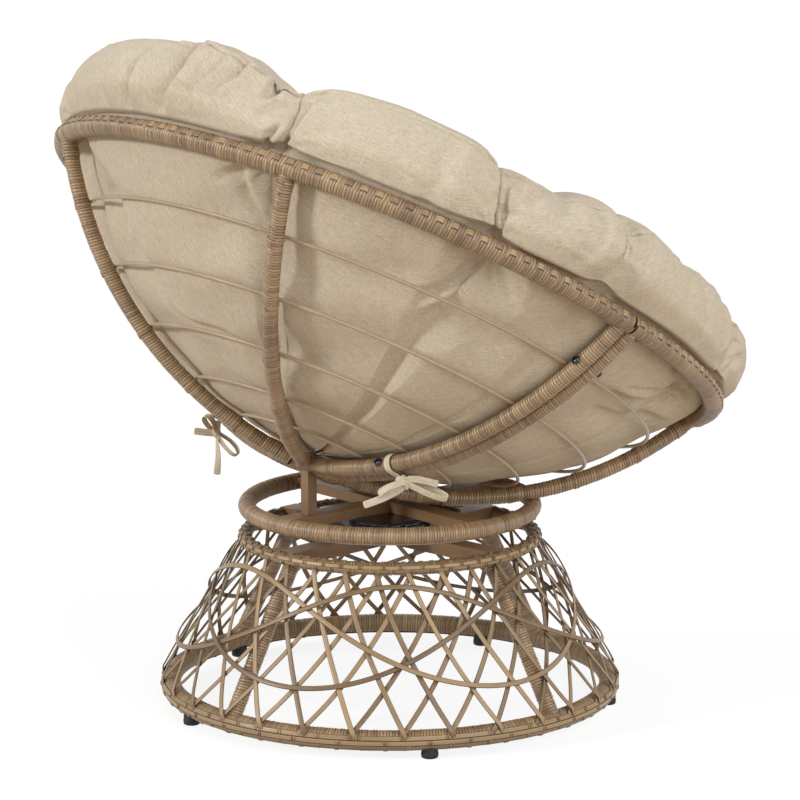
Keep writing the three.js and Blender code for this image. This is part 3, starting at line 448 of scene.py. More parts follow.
def rim_arc(start, end):
    return Arc((0, 0, 0), compass(0), compass(math.pi / 2), bowl_sizes().rim_radius, start, end)


def parallel(polar, start, end, radius):
    centre = (0, 0, sphere_height() - radius * math.cos(polar))
    return Arc(centre, compass(0), compass(math.pi / 2), radius * math.sin(polar), start, end)


def seam_offset():
    b = bowl_sizes()
    return b.seam_tube + b.seam_gap / 2


def rod_sphere_radius():
    b = bowl_sizes()
    return sphere_radius() - b.rib_tube - b.rod_gap - b.rod_radius


RIB_AZIMUTHS = {
    "back_right_rib": 1,
    "back_left_rib": -1,
    "front_right_rib": 2,
    "front_left_rib": -2,
}


def rib_azimuth(name):
    side = math.copysign(1, RIB_AZIMUTHS[name])
    lean = bowl_sizes().rib_angle
    return side * (lean if abs(RIB_AZIMUTHS[name]) == 1 else math.pi - lean)


# Skirt geometry, in the base's own frame
def skirt_ends():
    b = base_sizes()
    low = b.floor_tube + b.tie_clearance
    high = b.top_tube + b.tie_clearance
    bottom = (b.floor_ring + low * math.cos(b.floor_tie), b.floor_height + low * math.sin(b.floor_tie))
    top = (b.top_ring + high * math.cos(b.top_tie), b.top_height - high * math.sin(b.top_tie))
    return bottom, top


def skirt_slope():
    (low_radius, low_height), (high_radius, high_height) = skirt_ends()
    return math.atan2(low_radius - high_radius, high_height - low_height)


def skirt_out(turns):
    slope = skirt_slope()
    flat = math.cos(slope)
    up = np.full(len(turns), math.sin(slope))
    return np.stack([flat * np.cos(turns), flat * np.sin(turns), up], -1)


def skirt_points(turns, heights, offsets):
    """Points on the cone, from angles, shares of its height and distances out from it."""
    (low_radius, low_height), (high_radius, high_height) = skirt_ends()
    radius = low_radius + (high_radius - low_radius) * heights
    points = np.stack([
        radius * np.cos(turns),
        radius * np.sin(turns),
        low_height + (high_height - low_height) * heights,
    ], -1)
    return points + skirt_out(turns) * np.asarray(offsets)[..., None]


def write(mesh, name, kind, values):
    """Adds a value for each point to a mesh, for its material."""
    layer = mesh.attributes.new(name, kind, "POINT")
    layer.data.foreach_set("color" if kind == "FLOAT_COLOR" else "vector",
                           np.asarray(values, np.float32).ravel())


def cleaned(mesh):
    """Closes a mesh and turns its faces outward."""
    tidy = bmesh.new()
    tidy.from_mesh(mesh)
    open_edges = [e for e in tidy.edges if e.is_boundary]
    if open_edges:
        bmesh.ops.holes_fill(tidy, edges=open_edges)
    bmesh.ops.recalc_face_normals(tidy, faces=tidy.faces)
    tidy.to_mesh(mesh)
    tidy.free()


# Meshes with cane coordinates: crown, tint and batch as colour, and the way along and across the cane
class Cane:
    """Collects the vertices, faces and cane coordinates of one piece."""

    def __init__(self):
        self.points = []
        self.faces = []
        self.cane = []
        self.lay = []
        self.count = 0

    def add(self, points, faces, cane, lay):
        self.points.append(np.asarray(points, float))
        self.faces += [tuple(int(v) + self.count for v in face) for face in faces]
        self.cane.append(np.asarray(cane, float))
        self.lay.append(np.asarray(lay, float))
        self.count += len(points)

    def piece(self, name, matrix, material, body, slot, replaced=()):
        mesh = bpy.data.meshes.new(name)
        mesh.from_pydata(np.concatenate(self.points).tolist(), [], self.faces)
        mesh.transform(matrix)
        write(mesh, "cane", "FLOAT_COLOR", np.concatenate(self.cane))
        write(mesh, "lay", "FLOAT_VECTOR", np.concatenate(self.lay))
        cleaned(mesh)
        return place_piece(name, mesh, material, body, replaced)


def place_piece(name, mesh, material, body, replaced=()):
    mesh.materials.append(material)
    mesh.polygons.foreach_set("use_smooth", [True] * len(mesh.polygons))
    obj = bpy.data.objects.new(name, mesh)
    bpy.context.scene.collection.objects.link(obj)
    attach(obj, body)
    if replaced:
        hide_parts(*replaced)
    return obj


# One turn of cane across its width: place, height over the groove's floor, and crown for the shader
TURN_PLACES = np.array([0, 0.15, 0.38, 0.62, 0.85])
TURN_LIFTS = np.array([-1, -0.2, 0, 0, -0.2])
# Crowns below 1 get painted shade in the shader, darkest in the groove between two turns
TURN_CROWNS = np.array([0, 0.75, 1, 1, 0.75])


def wind(cane, route, radius, pitch, sides, seed, closed=False):
    """A tube wound with one long cane, each turn beside the last, as a helix of rows."""
    sizes = cane_sizes()
    rng = np.random.default_rng(seed)
    per_turn = len(TURN_PLACES)
    turns = max(2, round(route.length / pitch))
    step = route.length / turns
    rows = turns * per_turn if closed else (turns - 1) * per_turn + 1
    i, j = np.meshgrid(np.arange(rows), np.arange(sides), indexing="ij")
    wound = i // per_turn + TURN_PLACES[i % per_turn] + j / sides
    turn = np.floor(wound).astype(int) % turns
    jitter = rng.normal(0, 0.1, turns)
    sway = jitter[turn] * (1 - wound % 1) + jitter[(turn + 1) % turns] * (wound % 1)
    s = ((wound + sway) * step).ravel()
    if not closed:
        s = np.clip(s, 0, route.length)
    points, out, side = route.at(s)
    theta = 2 * math.pi * j.ravel() / sides
    own = i.ravel() // per_turn
    swell = rng.normal(0, 0.14, turns)[own % turns]
    lift = sizes.groove * (TURN_LIFTS[i.ravel() % per_turn] * (1 + 2 * np.abs(swell)) + swell)
    reach = (radius + lift)[:, None]
    points = points + reach * (np.cos(theta)[:, None] * out + np.sin(theta)[:, None] * side)
    batches = np.cumsum(rng.random(turns) < 0.04) + 1
    batch_tint = rng.random(batches[-1] + 1)[batches]
    tint = (0.7 * rng.random(turns) + 0.3 * batch_tint)[own % turns]
    crown = TURN_CROWNS[i.ravel() % per_turn]
    colour_row = np.stack([crown, tint, batch_tint[own % turns], np.ones_like(tint)], -1)
    around = 2 * math.pi * radius
    lay = np.stack([wound.ravel() * around, TURN_PLACES[i.ravel() % per_turn] * step,
                    np.full(len(s), seed, float)], -1)
    faces = []
    for a in range(rows if closed else rows - 1):
        for b in range(sides):
            if b + 1 < sides:
                low, high, right = a, a + 1, b + 1
            else:
                low, high, right = a + per_turn, a + 1 + per_turn, 0
            if closed:
                faces.append((a % rows * sides + b, (a + 1) % rows * sides + b,
                              high % rows * sides + right, low % rows * sides + right))
            elif high < rows:
                faces.append((a * sides + b, (a + 1) * sides + b, high * sides + right,
                              low * sides + right))
    cane.add(points, faces, colour_row, lay)


def tube_faces(rows, sides, base=0, closed=False):
    """Faces between the rows of a tube's points, and one over each end unless it is closed."""
    faces = []
    for row in range(rows if closed else rows - 1):
        low, high = base + row * sides, base + (row + 1) % rows * sides
        faces += [(low + k, high + k, high + (k + 1) % sides, low + (k + 1) % sides) for k in range(sides)]
    if not closed:
        faces.append(tuple(base + k for k in range(sides)))
        faces.append(tuple(base + (rows - 1) * sides + k for k in reversed(range(sides))))
    return faces


def directions(points, outs, closed):
    """Unit vectors along a strip, across it and out from its face."""
    if closed:
        along = unit(np.roll(points, -1, 0) - np.roll(points, 1, 0))
    else:
        along = unit(np.gradient(points, axis=0))
    across = unit(np.cross(along, unit(outs)))
    return across, np.cross(across, along)


def travelled(points):
    """How far along a line each of its points lies."""
    return np.concatenate([[0], np.cumsum(np.linalg.norm(np.diff(points, axis=0), axis=1))])


# Half of a flat cane's section: shares of its half width and of its half thickness
RIBBON_SECTION = [(-1, 0.3), (-0.6, 1), (0, 0.62), (0.6, 1), (1, 0.3)]


def ribbon(cane, points, outs, width, thickness, seed, closed=False):
    """A flat cane with a shallow flute along its middle, through points that it faces out from."""
    rng = np.random.default_rng(seed)
    points = np.asarray(points, float)
    across, outs = directions(points, outs, closed)
    u, h = np.array(RIBBON_SECTION + [(u, -h) for u, h in reversed(RIBBON_SECTION)]).T
    n, m = len(points), len(u)
    grid = (points[:, None, :]
            + across[:, None, :] * (u * width / 2)[None, :, None]
            + outs[:, None, :] * (h * thickness / 2)[None, :, None])
    # Low crowns at a flat cane's edges and flute give painted shade along its edges and down its middle
    crown = np.where(np.abs(u) == 1, 0.0, np.where(u == 0, 0.7, 1))
    colour_rows = np.ones((n, m, 4))
    colour_rows[..., 0] = crown
    colour_rows[..., 1] = rng.random()
    colour_rows[..., 2] = rng.random()
    lay = np.zeros((n, m, 3))
    lay[..., 0] = travelled(points)[:, None]
    lay[..., 1] = u[None, :] * width / 2
    lay[..., 2] = seed % 97
    cane.add(grid.reshape(-1, 3), tube_faces(n, m, closed=closed), colour_rows.reshape(-1, 4),
             lay.reshape(-1, 3))


# Shader nodes and the groups made of them
def new_group(name, inputs):
    """A group with some named values in, and a colour, a roughness and a height out."""
    group = bpy.data.node_groups.new(name, "ShaderNodeTree")
    for label, value in inputs.items():
        kind = "NodeSocketColor" if isinstance(value, tuple) else "NodeSocketFloat"
        group.interface.new_socket(name=label, in_out="INPUT", socket_type=kind).default_value = value
    for label, kind in (("Color", "NodeSocketColor"), ("Roughness", "NodeSocketFloat"),
                        ("Height", "NodeSocketFloat")):
        group.interface.new_socket(name=label, in_out="OUTPUT", socket_type=kind)
    return group, group.nodes.new("NodeGroupInput"), group.nodes.new("NodeGroupOutput")


def math_node(tree, operation, a, b=None, clamp=False):
    node = tree.nodes.new("ShaderNodeMath")
    node.operation = operation
    node.use_clamp = clamp
    for socket, value in zip(node.inputs, (a, b)):
        if isinstance(value, bpy.types.NodeSocket):
            tree.links.new(value, socket)
        elif value is not None:
            socket.default_value = value
    return node.outputs[0]


def plus(tree, *values):
    total = values[0]
    for value in values[1:]:
        total = math_node(tree, "ADD", total, value)
    return total


def times(tree, a, b):
    return math_node(tree, "MULTIPLY", a, b)


def grey(tree, value):
    node = tree.nodes.new("ShaderNodeCombineColor")
    for socket in node.inputs:
        tree.links.new(value, socket)
    return node.outputs[0]


def mix_colour(tree, factor, a, b, blend="MIX"):
    node = tree.nodes.new("ShaderNodeMix")
    node.data_type = "RGBA"
    node.blend_type = blend
    for socket, value in ((node.inputs[0], factor), (node.inputs[6], a), (node.inputs[7], b)):
        if isinstance(value, bpy.types.NodeSocket):
            tree.links.new(value, socket)
        else:
            socket.default_value = value
    return node.outputs[2]


def noise_node(tree, vector, scale, detail=2.0, roughness=0.5):
    node = tree.nodes.new("ShaderNodeTexNoise")
    node.inputs["Scale"].default_value = scale
    node.inputs["Detail"].default_value = detail
    node.inputs["Roughness"].default_value = roughness
    tree.links.new(vector, node.inputs["Vector"])
    return node.outputs["Fac"]


def stretch(tree, vector, scale):
    node = tree.nodes.new("ShaderNodeVectorMath")
    node.operation = "MULTIPLY"
    tree.links.new(vector, node.inputs[0])
    node.inputs[1].default_value = scale
    return node.outputs[0]


def attribute(tree, name, output):
    node = tree.nodes.new("ShaderNodeAttribute")
    node.attribute_name = name
    return node.outputs[output]


def cane_group():
    """Colour, roughness and height of cane: long streaks, a tint for each turn, and painted shade in the
    grooves.
    """
    if "Cane" in bpy.data.node_groups:
        return bpy.data.node_groups["Cane"]
    group, given, out = new_group(
        "Cane", {"Pale": (1, 1, 1, 1), "Dark": (0, 0, 0, 1), "Groove": 0.3, "Contrast": 1.0})
    links = group.links
    split = group.nodes.new("ShaderNodeSeparateColor")
    links.new(attribute(group, "cane", "Color"), split.inputs[0])
    crown, tint = split.outputs[0], split.outputs[1]
    lay = attribute(group, "lay", "Vector")
    streak = noise_node(group, stretch(group, lay, (22, 1500, 1)), 1, 3, 0.6)
    slow = noise_node(group, stretch(group, lay, (9, 90, 1)), 1, 2)
    place = group.nodes.new("ShaderNodeTexCoord").outputs["Object"]
    broad = noise_node(group, place, 7, 2)
    swing = plus(group, times(group, tint, 0.52), times(group, streak, 0.5), times(group, slow, 0.45),
                 times(group, broad, 0.35), -0.91)
    level = math_node(group, "ADD", times(group, swing, given.outputs["Contrast"]), 0.56, clamp=True)
    base = mix_colour(group, level, given.outputs["Dark"], given.outputs["Pale"])
    # Painted shade: where the crown is low, in the grooves between turns and along flat canes' edges, the
    # colour falls toward the Groove share
    shade = group.nodes.new("ShaderNodeMapRange")
    links.new(math_node(group, "POWER", crown, 0.7), shade.inputs["Value"])
    links.new(given.outputs["Groove"], shade.inputs["To Min"])
    shade.inputs["To Max"].default_value = 1
    painted_groove_shade = grey(group, shade.outputs[0])
    links.new(mix_colour(group, 1.0, base, painted_groove_shade, "MULTIPLY"), out.inputs["Color"])
    links.new(plus(group, times(group, streak, 0.3), 0.42, times(group, crown, -0.2)),
              out.inputs["Roughness"])
    links.new(streak, out.inputs["Height"])
    return group


def linen_group():
    """Colour and height of linen: crossed threads with slubs, laid by the cloth's own directions."""
    if "Linen" in bpy.data.node_groups:
        return bpy.data.node_groups["Linen"]
    group, given, out = new_group("Linen", {"Pale": (1, 1, 1, 1), "Dark": (0, 0, 0, 1), "Slub": 1.0})
    links = group.links
    cloth = attribute(group, "cloth", "Vector")
    warp = noise_node(group, stretch(group, cloth, (55, 620, 1)), 1, 3, 0.65)
    weft = noise_node(group, stretch(group, cloth, (620, 70, 1)), 1, 3, 0.65)
    fine_warp = noise_node(group, stretch(group, cloth, (240, 1900, 1)), 1, 1)
    fine_weft = noise_node(group, stretch(group, cloth, (1900, 240, 1)), 1, 1)
    broad = noise_node(group, cloth, 8, 3)
    threads = plus(group, times(group, warp, 1.6), weft)
    fine = plus(group, fine_warp, fine_weft)
    swing = plus(group, times(group, threads, 1.5), times(group, fine, 0.9), times(group, broad, 0.4), -3.05)
    level = math_node(group, "ADD", times(group, swing, given.outputs["Slub"]), 0.55, clamp=True)
    links.new(mix_colour(group, level, given.outputs["Dark"], given.outputs["Pale"]), out.inputs["Color"])
    links.new(plus(group, times(group, warp, -0.2), 1.0), out.inputs["Roughness"])
    links.new(plus(group, threads, fine), out.inputs["Height"])
    return group


def steel_group():
    """Colour and roughness of painted or blackened steel: faint mottle, and scuffs on its edges."""
    if "Steel" in bpy.data.node_groups:
        return bpy.data.node_groups["Steel"]
    group, given, out = new_group(
        "Steel", {"Base": (0.5, 0.5, 0.5, 1), "Worn": (0.5, 0.5, 0.5, 1), "Wear": 0.3, "Rough": 0.4})
    links = group.links
    place = group.nodes.new("ShaderNodeTexCoord").outputs["Object"]
    mottle = noise_node(group, place, 35, 4, 0.6)
    grit = noise_node(group, place, 900, 2)
    edge = group.nodes.new("ShaderNodeNewGeometry").outputs["Pointiness"]
    rubbed = math_node(group, "MULTIPLY", plus(group, edge, -0.52), 9, clamp=True)
    worn = math_node(group, "MULTIPLY", times(group, rubbed, mottle), given.outputs["Wear"], clamp=True)
    tone = grey(group, plus(group, times(group, mottle, 0.4), 0.8))
    base = mix_colour(group, 1.0, given.outputs["Base"], tone, "MULTIPLY")
    links.new(mix_colour(group, worn, base, given.outputs["Worn"]), out.inputs["Color"])
    links.new(plus(group, given.outputs["Rough"], times(group, plus(group, mottle, -0.5), 0.25)),
              out.inputs["Roughness"])
    links.new(grit, out.inputs["Height"])
    return group


def material(name, group, values, bump, constants):
    """A Principled material whose colour, roughness and bump come from a group with its own values."""
    made = bpy.data.materials.get(name)
    if made:
        return made
    made = bpy.data.materials.new(name)
    made.use_nodes = True
    tree = made.node_tree
    shader = tree.nodes["Principled BSDF"]
    for label, value in constants.items():
        shader.inputs[label].default_value = value
    effect = tree.nodes.new("ShaderNodeGroup")
    effect.node_tree = group
    for label, value in values.items():
        effect.inputs[label].default_value = value
    tree.links.new(effect.outputs["Color"], shader.inputs["Base Color"])
    tree.links.new(effect.outputs["Roughness"], shader.inputs["Roughness"])
    relief = tree.nodes.new("ShaderNodeBump")
    relief.inputs["Strength"].default_value = 1
    relief.inputs["Distance"].default_value = bump
    tree.links.new(effect.outputs["Height"], relief.inputs["Height"])
    tree.links.new(relief.outputs["Normal"], shader.inputs["Normal"])
    return made


def opaque(rgb):
    return (*rgb, 1)


def seen_directly(tree):
    """One where the camera, a gloss or a glass looks at a surface, and zero for the light it gives."""
    path = tree.nodes.new("ShaderNodeLightPath")
    seen = math_node(tree, "ADD", path.outputs["Is Camera Ray"], path.outputs["Is Glossy Ray"])
    return math_node(tree, "ADD", seen, path.outputs["Is Transmission Ray"], clamp=True)


STRAND_GLOSS = {"Specular IOR Level": 0.45}
PAINT_GLOSS = {"Specular IOR Level": 0.5}
CLOTH_GLOSS = {"Sheen Weight": 0.12, "Sheen Roughness": 0.5, "Specular IOR Level": 0.2}


def finish(name):
    """One of the chair's materials, by its group, its relief in metres, its gloss and the group's values."""
    f = finish_colours()
    group, bump, gloss, values = {
        # Groove: how dark the painted shade in the cane's grooves and along flat canes' edges gets
        "Wound cane": (cane_group, 0.00012,
                       {"Specular IOR Level": 0.55, "Coat Weight": 0.25, "Coat Roughness": 0.32},
                       {"Pale": f.cane_pale, "Dark": f.cane_dark, "Groove": 0.1, "Contrast": 1.3}),
        "Woven ring cane": (cane_group, 0.00014, STRAND_GLOSS,
                            {"Pale": f.strand_pale, "Dark": f.cane_dark, "Groove": 0.12,
                             "Contrast": 1.15}),
        "Flat strand": (cane_group, 0.00014, STRAND_GLOSS,
                        {"Pale": f.strand_pale, "Dark": f.strand_dark, "Groove": 0.2, "Contrast": 1.35}),
        "Painted rod": (steel_group, 0.00002, PAINT_GLOSS,
                        {"Base": f.rod, "Worn": f.cane_pale, "Wear": 0.3, "Rough": 0.38}),
        "Brown paint": (steel_group, 0.00004, PAINT_GLOSS,
                        {"Base": f.paint, "Worn": (0.3, 0.2, 0.12), "Wear": 0.5, "Rough": 0.42}),
        "Black steel": (steel_group, 0.00001,
                        {"Specular IOR Level": 0.5, "Coat Weight": 0.2, "Coat Roughness": 0.1},
                        {"Base": f.black, "Worn": (0.03, 0.03, 0.035), "Wear": 0.1, "Rough": 0.18}),
        "Zinc steel": (steel_group, 0.00002, {"Metallic": 1.0},
                       {"Base": (0.5, 0.5, 0.49), "Worn": (0.7, 0.7, 0.69), "Wear": 0.6, "Rough": 0.32}),
        "Foot rubber": (steel_group, 0.00006, {"Specular IOR Level": 0.35},
                        {"Base": f.rubber, "Worn": (0.05, 0.05, 0.05), "Wear": 0.4, "Rough": 0.6}),
        "Linen": (linen_group, 0.0004, CLOTH_GLOSS,
                  {"Pale": f.linen_pale, "Dark": f.linen_dark, "Slub": 0.8}),
        "Tie tape": (linen_group, 0.0003, CLOTH_GLOSS,
                     {"Pale": (0.82, 0.72, 0.56), "Dark": f.linen_dark, "Slub": 0.7}),
    }[name]
    values = {label: value if isinstance(value, float) else opaque(value) for label, value in values.items()}
    return material(name, group(), values, bump, gloss)


def bevelled(obj, width, degrees):
    """Rounds the edges that turn by more than an angle."""
    edges = obj.modifiers.new("Edges", "BEVEL")
    edges.width = width
    edges.segments = 2
    edges.limit_method = "ANGLE"
    edges.angle_limit = math.radians(degrees)
    return edges


def turned_piece(node, suffix, profile, segments, material, body, matrix):
    """A round or many-sided piece, turned from a profile of radius and height."""
    points = []
    for radius, height in profile:
        for k in range(segments):
            turn = 2 * math.pi * k / segments
            points.append((radius * math.cos(turn), radius * math.sin(turn), height))
    faces = [face[::-1] for face in tube_faces(len(profile), segments)]
    name = f"{node}_{suffix}"
    mesh = bpy.data.meshes.new(name)
    mesh.from_pydata(points, [], faces)
    mesh.transform(matrix)
    obj = place_piece(name, mesh, material, body, [node])
    bevelled(obj, width=0.0004, degrees=35).harden_normals = True


# Operators
class PapasanOperator:
    bl_options = {"REGISTER", "UNDO"}


class PAPASAN_OT_stage(PapasanOperator, bpy.types.Operator):
    """Makes the camera, the pale floor and the soft lamps"""
    bl_idname = "papasan.stage"
    bl_label = "Stage"

    def execute(self, context):
        scene = context.scene
        settings = scene.papasan_stage
        scene.view_settings.view_transform = "Standard"
        self.camera(scene, settings)
        self.floor(settings)
        self.sky(scene, settings)
        self.lamp("Key lamp", (0.33, 0.88, 0.4), settings.key, softness=10)
        self.lamp("Side lamp", (-0.92, -0.05, 0.45), settings.side, softness=60)
        return {"FINISHED"}

    def camera(self, scene, settings):
        back = Vector((
            math.sin(settings.azimuth) * math.cos(settings.elevation),
            -math.cos(settings.azimuth) * math.cos(settings.elevation),
            math.sin(settings.elevation),
        ))
        right = Vector((0, 0, 1)).cross(back).normalized()
        aim = Vector((SWIVEL.x, SWIVEL.y, settings.aim_height)) + right * settings.aim_side
        data = bpy.data.cameras.new("Camera")
        data.lens = settings.lens
        data.clip_end = settings.floor_size
        camera = bpy.data.objects.new("Camera", data)
        camera.rotation_mode = "QUATERNION"
        camera.rotation_quaternion = back.to_track_quat("Z", "Y")
        camera.location = aim + back * settings.distance
        scene.collection.objects.link(camera)
        scene.camera = camera

    def floor(self, settings):
        half = settings.floor_size / 2
        mesh = bpy.data.meshes.new("Floor")
        mesh.from_pydata([(-half, -half, 0), (half, -half, 0), (half, half, 0), (-half, half, 0)], [],
                         [(0, 1, 2, 3)])
        mesh.materials.append(self.floor_material())
        obj = bpy.data.objects.new("Floor", mesh)
        bpy.context.scene.collection.objects.link(obj)

    def floor_material(self):
        """A floor that is pale to the camera and keeps the chair's shadow."""
        f = finish_colours()
        made = bpy.data.materials.new("Floor")
        made.use_nodes = True
        tree = made.node_tree
        shader = tree.nodes["Principled BSDF"]
        shader.inputs["Roughness"].default_value = 0.9
        shader.inputs["Specular IOR Level"].default_value = 0.1
        shader.inputs["Emission Color"].default_value = (1, 1, 1, 1)
        seen = seen_directly(tree)
        tree.links.new(mix_colour(tree, seen, opaque(f.floor_lit), opaque(f.floor_seen)),
                       shader.inputs["Base Color"])
        tree.links.new(math_node(tree, "MULTIPLY", seen, f.floor_glow), shader.inputs["Emission Strength"])
        return made

    def sky(self, scene, settings):
        world = bpy.data.worlds.new("World")
        scene.world = world
        world.use_nodes = True
        tree = world.node_tree
        background = tree.nodes["Background"]
        background.inputs["Color"].default_value = (1, 1, 1, 1)
        lift = math_node(tree, "MULTIPLY", seen_directly(tree), 1 - settings.sky)
        tree.links.new(math_node(tree, "ADD", lift, settings.sky), background.inputs["Strength"])

    def lamp(self, name, towards, strength, softness):
        data = bpy.data.lights.new(name, "SUN")
        data.energy = strength
        data.color = (0.94, 0.97, 1)
        data.angle = math.radians(softness)
        lamp = bpy.data.objects.new(name, data)
        lamp.rotation_mode = "QUATERNION"
        lamp.rotation_quaternion = Vector(towards).to_track_quat("Z", "Y")
        bpy.context.scene.collection.objects.link(lamp)


class PAPASAN_OT_bowl(PapasanOperator, bpy.types.Operator):
    """Winds the rim, the seam tubes and the ribs of the bowl with cane"""
    bl_idname = "papasan.bowl"
    bl_label = "Wound bowl"

    def execute(self, context):
        b = bowl_sizes()
        pitch = cane_sizes().pitch
        for order, (half, middle) in enumerate((("back", 0.0), ("front", math.pi))):
            route = rim_arc(middle - math.pi / 2, middle + math.pi / 2)
            cane = Cane()
            wind(cane, route, b.rim_tube, pitch, sides=18, seed=11 + order)
            self.ladder(cane, route, order)
            cane.piece(f"rim_{half}_cane", bowl_matrix(), finish("Wound cane"), "seat", "wicker_wrap",
                       [f"rim_{half}"])
            side = seam_offset() * (1 if half == "back" else -1)
            seam = meridian(math.pi / 2, -rim_polar(), rim_polar(), sphere_radius(), side)
            cane = Cane()
            wind(cane, seam, b.seam_tube, pitch, sides=16, seed=21 + order)
            cane.piece(f"seam_{half}_cane", bowl_matrix(), finish("Wound cane"), "seat", "wicker_wrap",
                       [f"seam_tube_{half}"])
        for order, name in enumerate(RIB_AZIMUTHS):
            start = math.asin(b.rib_start / sphere_radius())
            rib = meridian(rib_azimuth(name), start, rim_polar(), sphere_radius())
            cane = Cane()
            wind(cane, rib, b.rib_tube, pitch, sides=16, seed=31 + order)
            self.rib_lashings(cane, rib, start, order)
            cane.piece(f"{name}_cane", bowl_matrix(), finish("Wound cane"), "seat", "wicker_wrap", [name])
        self.joint_lashings()
        return {"FINISHED"}

    def ladder(self, cane, route, order):
        """A flat cane laid along the rim's outer top, over two turns and under three."""
        b = bowl_sizes()
        c = cane_sizes()
        spacing = 5 * c.pitch
        count = int(route.length / spacing)
        lean = math.radians(24)
        for k in range(count):
            middle = (k + 0.5) * spacing
            s = middle + np.linspace(-0.5, 0.5, 7) * spacing * 0.5
            points, out, side = route.at(s)
            away = unit(math.cos(lean) * out + math.sin(lean) * side)
            dive = np.array([-1.1, 0.1, 0.55, 0.6, 0.55, 0.1, -1.1]) * c.groove
            points = points + away * (b.rim_tube + dive)[:, None]
            ribbon(cane, points, away, c.ladder_width, c.band_thickness, seed=1000 * (order + 1) + k)

    def rib_lashings(self, cane, rib, start, order):
        """Three turns of thin cane where each rod crosses the rib."""
        b = bowl_sizes()
        c = cane_sizes()
        span = rim_polar() - start
        for level, polar_share in enumerate(ROD_POLAR_SHARES):
            place = (polar_share * rim_polar() - start) / span
            wind(cane, rib.part(place, 3 * c.pitch), b.rib_tube + c.lashing, c.pitch, sides=16,
                 seed=50 + 5 * order + level)

    def joint_lashings(self):
        """Turns of cane on the rim beside each rib and seam, and round the tube's own end."""
        b = bowl_sizes()
        c = cane_sizes()
        cane = Cane()
        azimuths = [rib_azimuth(name) for name in RIB_AZIMUTHS]
        for order, azimuth in enumerate(azimuths + [math.pi / 2, -math.pi / 2]):
            reach = b.rib_tube if order < len(azimuths) else 2 * b.seam_tube
            for side in (-1, 1):
                middle = azimuth + side * (reach + 2.5 * c.pitch) / b.rim_radius
                half = 2.5 * c.pitch / b.rim_radius
                wind(cane, rim_arc(middle - half, middle + half), b.rim_tube + c.lashing, c.pitch,
                     sides=18, seed=80 + 2 * order + side)
        for order, azimuth in enumerate(azimuths):
            arc = meridian(azimuth, 0, rim_polar(), sphere_radius())
            place = 1 - (b.rim_tube + 3 * c.pitch) / arc.length
            wind(cane, arc.part(place, 5 * c.pitch), b.rib_tube + c.lashing, c.pitch, sides=16,
                 seed=110 + order)
        cane.piece("rim_joint_lashings", bowl_matrix(), finish("Wound cane"), "seat", "wicker_wrap")


class PAPASAN_OT_rods(PapasanOperator, bpy.types.Operator):
    """Bends the painted rods that carry the cushion"""
    bl_idname = "papasan.rods"
    bl_label = "Bent rods"

    def execute(self, context):
        b = bowl_sizes()
        radius = rod_sphere_radius()
        for half, middle in (("back", 0.0), ("front", math.pi)):
            for level, polar_share in enumerate(ROD_POLAR_SHARES):
                polar = polar_share * rim_polar()
                spread = math.asin(seam_offset() / (radius * math.sin(polar)))
                reach = math.pi / 2 - spread
                route = parallel(polar, middle - reach, middle + reach, radius)
                self.rod(f"rod_{half}_{level + 1}", route, b.rod_radius)
        return {"FINISHED"}

    def rod(self, node, route, radius):
        steps = max(16, int(route.length / 0.012))
        sides = 12
        points, out, side = route.at(np.linspace(0, route.length, steps + 1))
        turn = 2 * np.pi * np.arange(sides) / sides
        ring = (points[:, None, :] + radius * (np.cos(turn)[None, :, None] * out[:, None, :]
                                               + np.sin(turn)[None, :, None] * side[:, None, :]))
        mesh = bpy.data.meshes.new(node)
        mesh.from_pydata(ring.reshape(-1, 3).tolist(), [], tube_faces(steps + 1, sides))
        mesh.transform(bowl_matrix())
        place_piece(f"{node}_paint", mesh, finish("Painted rod"), "seat", [node])


class PAPASAN_OT_swivel(PapasanOperator, bpy.types.Operator):
    """Winds the swivel ring and finishes the steel crosses, the post and the bearing"""
    bl_idname = "papasan.swivel"
    bl_label = "Swivel"

    def execute(self, context):
        b = base_sizes()
        height = (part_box("swivel_ring")[0].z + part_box("swivel_ring")[1].z) / 2
        ring = Arc((0, 0, height), (1, 0, 0), (0, 1, 0), b.swivel_ring, 0, 2 * math.pi)
        cane = Cane()
        wind(cane, ring, b.swivel_tube, cane_sizes().fine_pitch, sides=18, seed=5, closed=True)
        cane.piece("swivel_ring_cane", swivel_matrix(), finish("Wound cane"), "seat", "wicker_wrap",
                   ["swivel_ring"])
        finishes = {
            "Brown paint": ("upper_cross", "lower_cross", "rear_post"),
            "Black steel": ("upper_swivel_plate", "lower_swivel_plate"),
            "Zinc steel": ("swivel_pivot", "ball_cage"),
        }
        for steel, names in finishes.items():
            for name in names:
                node = frame["nodes"][name]
                node.data.materials.clear()
                node.data.materials.append(finish(steel))
                if steel == "Brown paint":
                    bevelled(node, width=0.0009, degrees=60)
        return {"FINISHED"}


